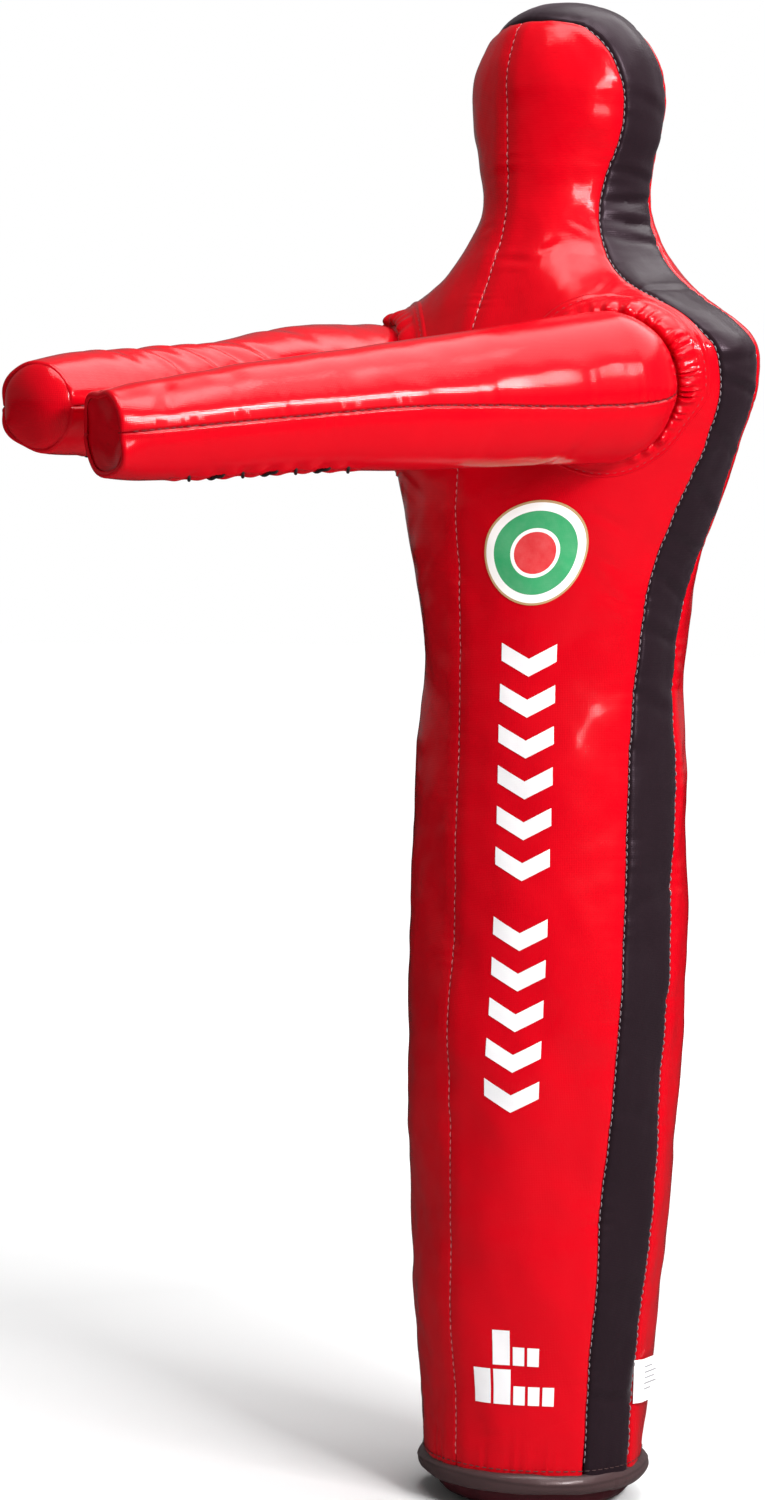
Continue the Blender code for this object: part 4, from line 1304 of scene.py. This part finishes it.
def patch(name, z0, t0, across, up, material):
    """A thin print on the left cover, from grids of distances across and up from its centre."""
    grid, _ = cover(z0 + up, t0 - across * local_rate(z0, t0), 1, PRINT_LIFT)
    cloth = np.stack([across, up, 0 * across + FAR_FROM_SEAM], -1)
    return shell(name, *facing(grid * LEVEL, grid, cloth), material, PRINT_THICKNESS)


def bar(width, height):
    """A bar, as distances from its centre."""
    v, h = np.meshgrid(np.linspace(-0.5, 0.5, 12), np.linspace(-0.5, 0.5, 14), indexing="ij")
    return h * width, v * height


def chevron(width, stroke, drop):
    """A bar bent down in its middle, as distances from its centre."""
    v, h = np.meshgrid(np.linspace(-0.5, 0.5, 9), np.linspace(-0.5, 0.5, 29), indexing="ij")
    return h * width, v * stroke + drop * (2 * abs(h) - 0.5)


def chest_badge(name, material):
    ring = np.concatenate([[0.0005], np.linspace(0.003, BADGE_RADIUS - 0.001, 12), [BADGE_RADIUS]])
    turn = np.linspace(0, 2 * math.pi, 96, endpoint=False)
    across = ring[:, None] * np.cos(turn)
    up = ring[:, None] * np.sin(turn)
    angle, height = BADGE
    grid, _ = cover(height + up, angle - across * local_rate(height, angle), 1, BADGE_LIFT)
    cloth = np.stack([across, up, FAR_FROM_SEAM + 0 * up], -1)
    centre = grid[0].mean(0)
    return closed_disc(name, grid, cloth, centre, FAR_FROM_SEAM, centre * LEVEL, material, BADGE_THICKNESS)


# The label's grey lines: their lengths as shares of its length, and their first height and pitch as shares
# of its width. They start at LINE_START.
LINE_LENGTHS = (0.34, 0.50, 0.42, 0.50, 0.28)
LINE_TOP = 0.32
LINE_PITCH = 0.13
LINE_START = 0.25
LINE_HALF_WIDTH = 0.00045
LINE_THICKNESS = 0.00015
LINE_LIFT = 0.00025
LABEL_ROOT = 0.0010
LABEL_STEP = 0.0036
LABEL_SLOPE = 0.0050
LABEL_WAVE = 0.0010
LABEL_RISE = 0.0022
LABEL_TAPER = 0.03


def label_lift(s, v):
    """How far the label stands off the cover: it leaves its seam steeply, then slowly, with a slight wave."""
    wave = LABEL_WAVE * np.sin(3.0 * v + 2.2 * s) * s
    return LABEL_ROOT + LABEL_STEP * ramp(s, -0.02, 0.22) + LABEL_SLOPE * s + wave


def on_label(name, s, up, material, thickness, lift=0.0):
    """A sheet that lies on the label or is it, from shares of its length and heights from its middle."""
    edge = rear_edge(LABEL_HEIGHT)
    corner, normal = cover(LABEL_HEIGHT, edge, 1, -0.0010)
    along = unit(skin(LABEL_HEIGHT, edge - 14) - skin(LABEL_HEIGHT, edge))
    out = np.array([along[1], -along[0], 0])
    out = out * np.sign(out @ normal)
    high = label_lift(s, up / LABEL[2]) + lift
    rise = up * (1 - LABEL_TAPER * s) + LABEL_RISE * s
    grid = corner + (LABEL[0] * s)[..., None] * along + high[..., None] * out + rise[..., None] * AXIS_UP
    cloth = stack(LABEL[0] * s, up, 0 * s + 0.01)
    return shell(name, *facing(out, grid, cloth), material, thickness)


def care_label(material, ink):
    """The white ribbon folded in two and sewn in the strip's rear seam, with plain grey lines."""
    _, thickness, width = LABEL
    s = np.linspace(0, 1, 22)[None, :]
    v = np.linspace(-0.5, 0.5, 24)[:, None]
    pieces = [on_label("care_label_ribbon", s, width * v, material, thickness)]
    for k, share in enumerate(LINE_LENGTHS):
        s = np.linspace(LINE_START, LINE_START + share, 10)[None, :]
        up = np.linspace(-LINE_HALF_WIDTH, LINE_HALF_WIDTH, 3)[:, None] + (LINE_TOP - LINE_PITCH * k) * width
        pieces.append(on_label(f"care_label_line_{k + 1}", s, up, ink, LINE_THICKNESS, LINE_LIFT))
    return pieces


# ---- building ----------------------------------------------------------------------------------

def bend_at_neck(obj):
    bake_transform(obj)


def build_covers():
    for side, word in SIDES:
        front = panel(f"front_cover_{word}", side, False, RED)
        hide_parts(f"front_panel_{word}", f"face_panel_{word}")
        back = panel(f"back_cover_{word}", side, True, RED)
        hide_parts(f"back_panel_{word}", f"head_back_panel_{word}")
        for obj in (front, back):
            bend_at_neck(obj)
    band = side_band("side_band", DARK)
    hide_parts("side_strip_left", "side_strip_right", "head_strip", "torso_filling", "head_filling")
    bend_at_neck(band)


def build_seams():
    lines = []
    for side, word in SIDES:
        for name, edge, top, gathers in (("front", front_edge, FACE_LEVELS[-1], FRONT_PUCKERS),
                                         ("rear", rear_edge, BACK_LEVELS[-1], REAR_PUCKERS)):
            path = seam_path(edge, side, STITCHES_SUNK, top, gathers, SIDE_SHIFT)
            lines.append((f"strip_{name}_stitches_{word}", *path, GREY_THREAD))
    for name, angle, depth, top, gathers in (("front", 90.0, 0.0005, CROWN_FRONT - FRONT_GAP, CENTRE_PUCKERS),
                                             ("back", -90.0, 0.0009, CROWN_REAR - 0.0005, BACK_PUCKERS)):
        path = seam_path(lambda z: np.full(len(z), angle), 1, depth, top, gathers)
        lines.append((f"{name}_centre_stitches", *path, PINK_THREAD))
    for name, path, n, material in lines:
        made = stitches(name, path, n, material)
        bend_at_neck(made)
    halves = [cover(HEM_STITCHES, np.linspace(-90, 90, 400), side, 0.0002) for side, _ in SIDES]
    loop = [np.concatenate([left, right[::-1]]) for left, right in zip(*halves)]
    hem = stitches("hem_stitches", *loop, HEM_THREAD)
    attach(hem, "torso")


def build_arms():
    for side, word in SIDES:
        skirt, loop, normals = shoulder_skirt(f"shoulder_gathers_{word}", side, RED)
        ring = stitches(f"shoulder_stitches_{word}", loop, normals, RED_THREAD)
        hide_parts(f"shoulder_ring_{word}")
        for obj in (skirt, ring):
            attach(obj, "torso")
        for upper, level in ((True, "upper"), (False, "lower")):
            root = sleeve_panel(f"sleeve_root_{level}_{word}", side, upper, True, RED)
            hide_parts(f"arm_root_gathers_{word}")
            bend_at_root(root, side, word)
            outer = sleeve_panel(f"sleeve_{level}_{word}", side, upper, False, RED)
            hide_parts(f"arm_{level}_panel_{word}", f"arm_filling_{word}")
            bend_at_pivot(outer, side, word)
        cap = arm_cap(f"sleeve_end_{word}", side, RED)
        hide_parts(f"arm_end_cap_{word}")
        lace = arm_lace(f"sleeve_lace_{word}", side, LACE_CORD)
        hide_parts(f"arm_lace_{word}")
        for obj in (cap, lace):
            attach(obj, f"arm_{word}")
        for name, phi in (("outer", 0.0), ("inner", 180.0)):
            join = sleeve_join(side, np.array([phi]))[0]
            cut = sleeve_cut(side, np.array([phi]))[0]
            end = SLEEVE_END - SLEEVE_START - 0.002
            for length, low, high in (("root_", join + 0.004, cut), ("", cut, end)):
                path, n = sleeve_line(side, np.linspace(low, high, 300), phi, 0.0004)
                made = stitches(f"sleeve_{length}{name}_stitches_{word}", path, n, DARK_THREAD)
                (bend_at_root if length else bend_at_pivot)(made, side, word)


ROOT_BEND_START = 0.008
PIVOT_BEND = 0.078  # a length of sleeve beyond the cut; the point worked out from it is not used


def arm_place(side, distance):
    """A point in front of the arm's root, across the cut's direction."""
    pivot, along, _, _ = arm_axes(side)
    return tuple(pivot - along * PIVOT_DISTANCE + cut_way(side) * distance)


def bend_at_root(obj, side, word):
    arm_place(side, ROOT_BEND_START)
    arm_place(side, CUT_DISTANCE)
    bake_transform(obj)


def bend_at_pivot(obj, side, word):
    arm_place(side, CUT_DISTANCE)
    arm_place(side, CUT_DISTANCE + PIVOT_BEND)
    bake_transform(obj)


def build_base():
    roll = binding_roll("base_binding_roll", BINDING)
    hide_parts("bottom_binding")
    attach(roll, "torso")
    disc = base_disc("base_disc", MAROON)
    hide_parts("bottom_panel")
    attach(disc, "torso")


CHEVRONS = 11
CHEVRON_GROUP = 6  # a gap comes after this many
CHEVRON_TOP = 0.5650
CHEVRON_ANGLE = 57.0
CHEVRON_DRIFT = 0.35  # degrees from one to the next
CHEVRON_SIZE = (0.0365, 0.0115, 0.0100)  # width, stroke and drop
CHEVRON_PITCH = 0.0265
CHEVRON_GAP = 0.0190
# The base's marks: height and left end of each row, and how many tall and low bars are in it.
MARK_ROWS = [(0.1130, -0.0135, 1, 2), (0.0865, -0.0265, 2, 3)]
MARK_ANGLE = 58
TALL_BAR = (0.0115, 0.0235)
LOW_BAR = (0.0078, 0.0125)
BAR_GAP = 0.0021


def build_prints():
    badge = chest_badge("chest_badge_disc", badge_material())
    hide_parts("chest_badge")
    printed = [badge]
    for i in range(CHEVRONS):
        z = CHEVRON_TOP - CHEVRON_PITCH * i - (CHEVRON_GAP if i >= CHEVRON_GROUP else 0)
        angle = CHEVRON_ANGLE + CHEVRON_DRIFT * i
        printed.append(patch(f"chest_chevron_{i + 1}", z, angle, *chevron(*CHEVRON_SIZE), WHITE_PRINT))
    for row, (height, start, tall_bars, low_bars) in enumerate(MARK_ROWS):
        for k, (width, tall) in enumerate([TALL_BAR] * tall_bars + [LOW_BAR] * low_bars):
            h, v = bar(width, tall)
            h = h + start + width / 2
            v = v - (TALL_BAR[1] - tall) / 2
            printed.append(patch(f"base_mark_{row + 1}_{k + 1}", height, MARK_ANGLE, h, v, WHITE_PRINT))
            start += width + BAR_GAP
    for obj in printed:
        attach(obj, "torso")
    pieces = care_label(label_material(), GREY_PRINT)
    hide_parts("care_label")
    for obj in pieces:
        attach(obj, "torso")


# ---- stage, lights and camera ------------------------------------------------------------------

FLOOR_SIDE = 40.0
FLOOR_HEIGHT = -0.0004
FLOOR_REFLECTED = 0.04  # the floor's tone in reflections; the other rays add theirs to it
FLOOR_TONES = {"Is Camera Ray": 0.84, "Is Diffuse Ray": 0.80}
WHITE_FROM = (0.7, 2.4)  # the floor turns as white as the background between these distances


def paper_material():
    """Matt paper that fades into the white background with distance, and hardly shows in reflections."""
    n = Nodes("paper")
    rays = n.add("ShaderNodeLightPath")
    tone = FLOOR_REFLECTED
    for ray, share in FLOOR_TONES.items():
        tone = n.math("ADD", tone, n.math("MULTIPLY", rays.outputs[ray], share))
    n.feed("Base Color", tone)
    away = n.add("ShaderNodeVectorMath", operation="LENGTH")
    n.link(n.add("ShaderNodeTexCoord").outputs["Object"], away.inputs[0])
    near, far = WHITE_FROM
    share = n.math("DIVIDE", n.math("SUBTRACT", away.outputs["Value"], near), far - near, True)
    n.feed("Emission Strength", n.math("MULTIPLY", rays.outputs["Is Camera Ray"], share))
    n.set(Emission_Color=(1, 1, 1), Roughness=0.95, Specular_IOR_Level=0.0)
    return n.material


def build_stage():
    """A wide flat paper floor under a white background."""
    half = FLOOR_SIDE / 2
    grid = np.array([[(x * half, y * half, FLOOR_HEIGHT) for x in (-1, 1)] for y in (-1, 1)])
    add_mesh("studio_floor", grid, grid_faces(2, 2), paper_material())


CAMERA_AZIMUTH = 43.5  # from straight ahead towards the dummy's left side
CAMERA_DISTANCE = 2.4
CAMERA_HEIGHT = 0.62
AIM_LEFT = 0.1136
AIM_HEIGHT = 0.500
CAMERA_ROLL = 1.35
LENS = 85.7


def build_camera():
    turn = math.radians(CAMERA_AZIMUTH)
    right = Vector((math.cos(turn), math.sin(turn), 0))
    place = Vector((math.sin(turn) * CAMERA_DISTANCE, -math.cos(turn) * CAMERA_DISTANCE, CAMERA_HEIGHT))
    aim = -right * AIM_LEFT + Vector((0, 0, AIM_HEIGHT))
    data = bpy.data.cameras.new("camera")
    data.lens = LENS
    camera = bpy.data.objects.new("camera", data)
    bpy.context.scene.collection.objects.link(camera)
    look = (aim - place).to_track_quat("-Z", "Y")
    camera.location = place
    camera.rotation_mode = "QUATERNION"
    camera.rotation_quaternion = look @ Quaternion((0, 0, 1), math.radians(CAMERA_ROLL))
    bpy.context.scene.camera = camera


LIGHT_AIM = Vector((0, 0, 0.55))
# Name, azimuth from the camera's rightwards, elevation, distance, width, height and power.
LIGHTS = [
    ("right_box", 31, 18, 1.9, 0.24, 0.42, 19),
    ("right_strip", 44, 27, 1.9, 0.62, 0.22, 29),
    ("rear_box", 112, 63, 2.0, 2.5, 1.8, 41),
    ("top_box", -4, 70, 2.1, 1.5, 1.1, 38),
]
AMBIENT = 0.14  # the white surroundings are this bright to all rays but the camera's


def softbox(name, azimuth, elevation, distance, width, height, power):
    """An area light that faces the dummy."""
    turn = math.radians(CAMERA_AZIMUTH + azimuth)
    lift = math.radians(elevation)
    way = Vector((math.sin(turn) * math.cos(lift), -math.cos(turn) * math.cos(lift), math.sin(lift)))
    data = bpy.data.lights.new(name, "AREA")
    data.shape = "RECTANGLE"
    data.size = width
    data.size_y = height
    data.energy = power
    light = bpy.data.objects.new(name, data)
    bpy.context.scene.collection.objects.link(light)
    light.location = LIGHT_AIM + way * distance
    light.rotation_euler = (-way).to_track_quat("-Z", "Y").to_euler()


def build_lights():
    for light in LIGHTS:
        softbox(*light)
    world = bpy.data.worlds.new("studio")
    world.use_nodes = True
    nodes, links = world.node_tree.nodes, world.node_tree.links
    background = nodes["Background"]
    background.inputs["Color"].default_value = (1, 1, 1, 1)
    strength = nodes.new("ShaderNodeMath")
    strength.operation = "MAXIMUM"
    strength.inputs[1].default_value = AMBIENT
    links.new(nodes.new("ShaderNodeLightPath").outputs["Is Camera Ray"], strength.inputs[0])
    links.new(strength.outputs["Value"], background.inputs["Strength"])
    bpy.context.scene.world = world
    bpy.context.scene.view_settings.view_transform = "Standard"


build_covers()
build_seams()
build_arms()
build_base()
build_prints()
build_stage()
build_camera()
build_lights()
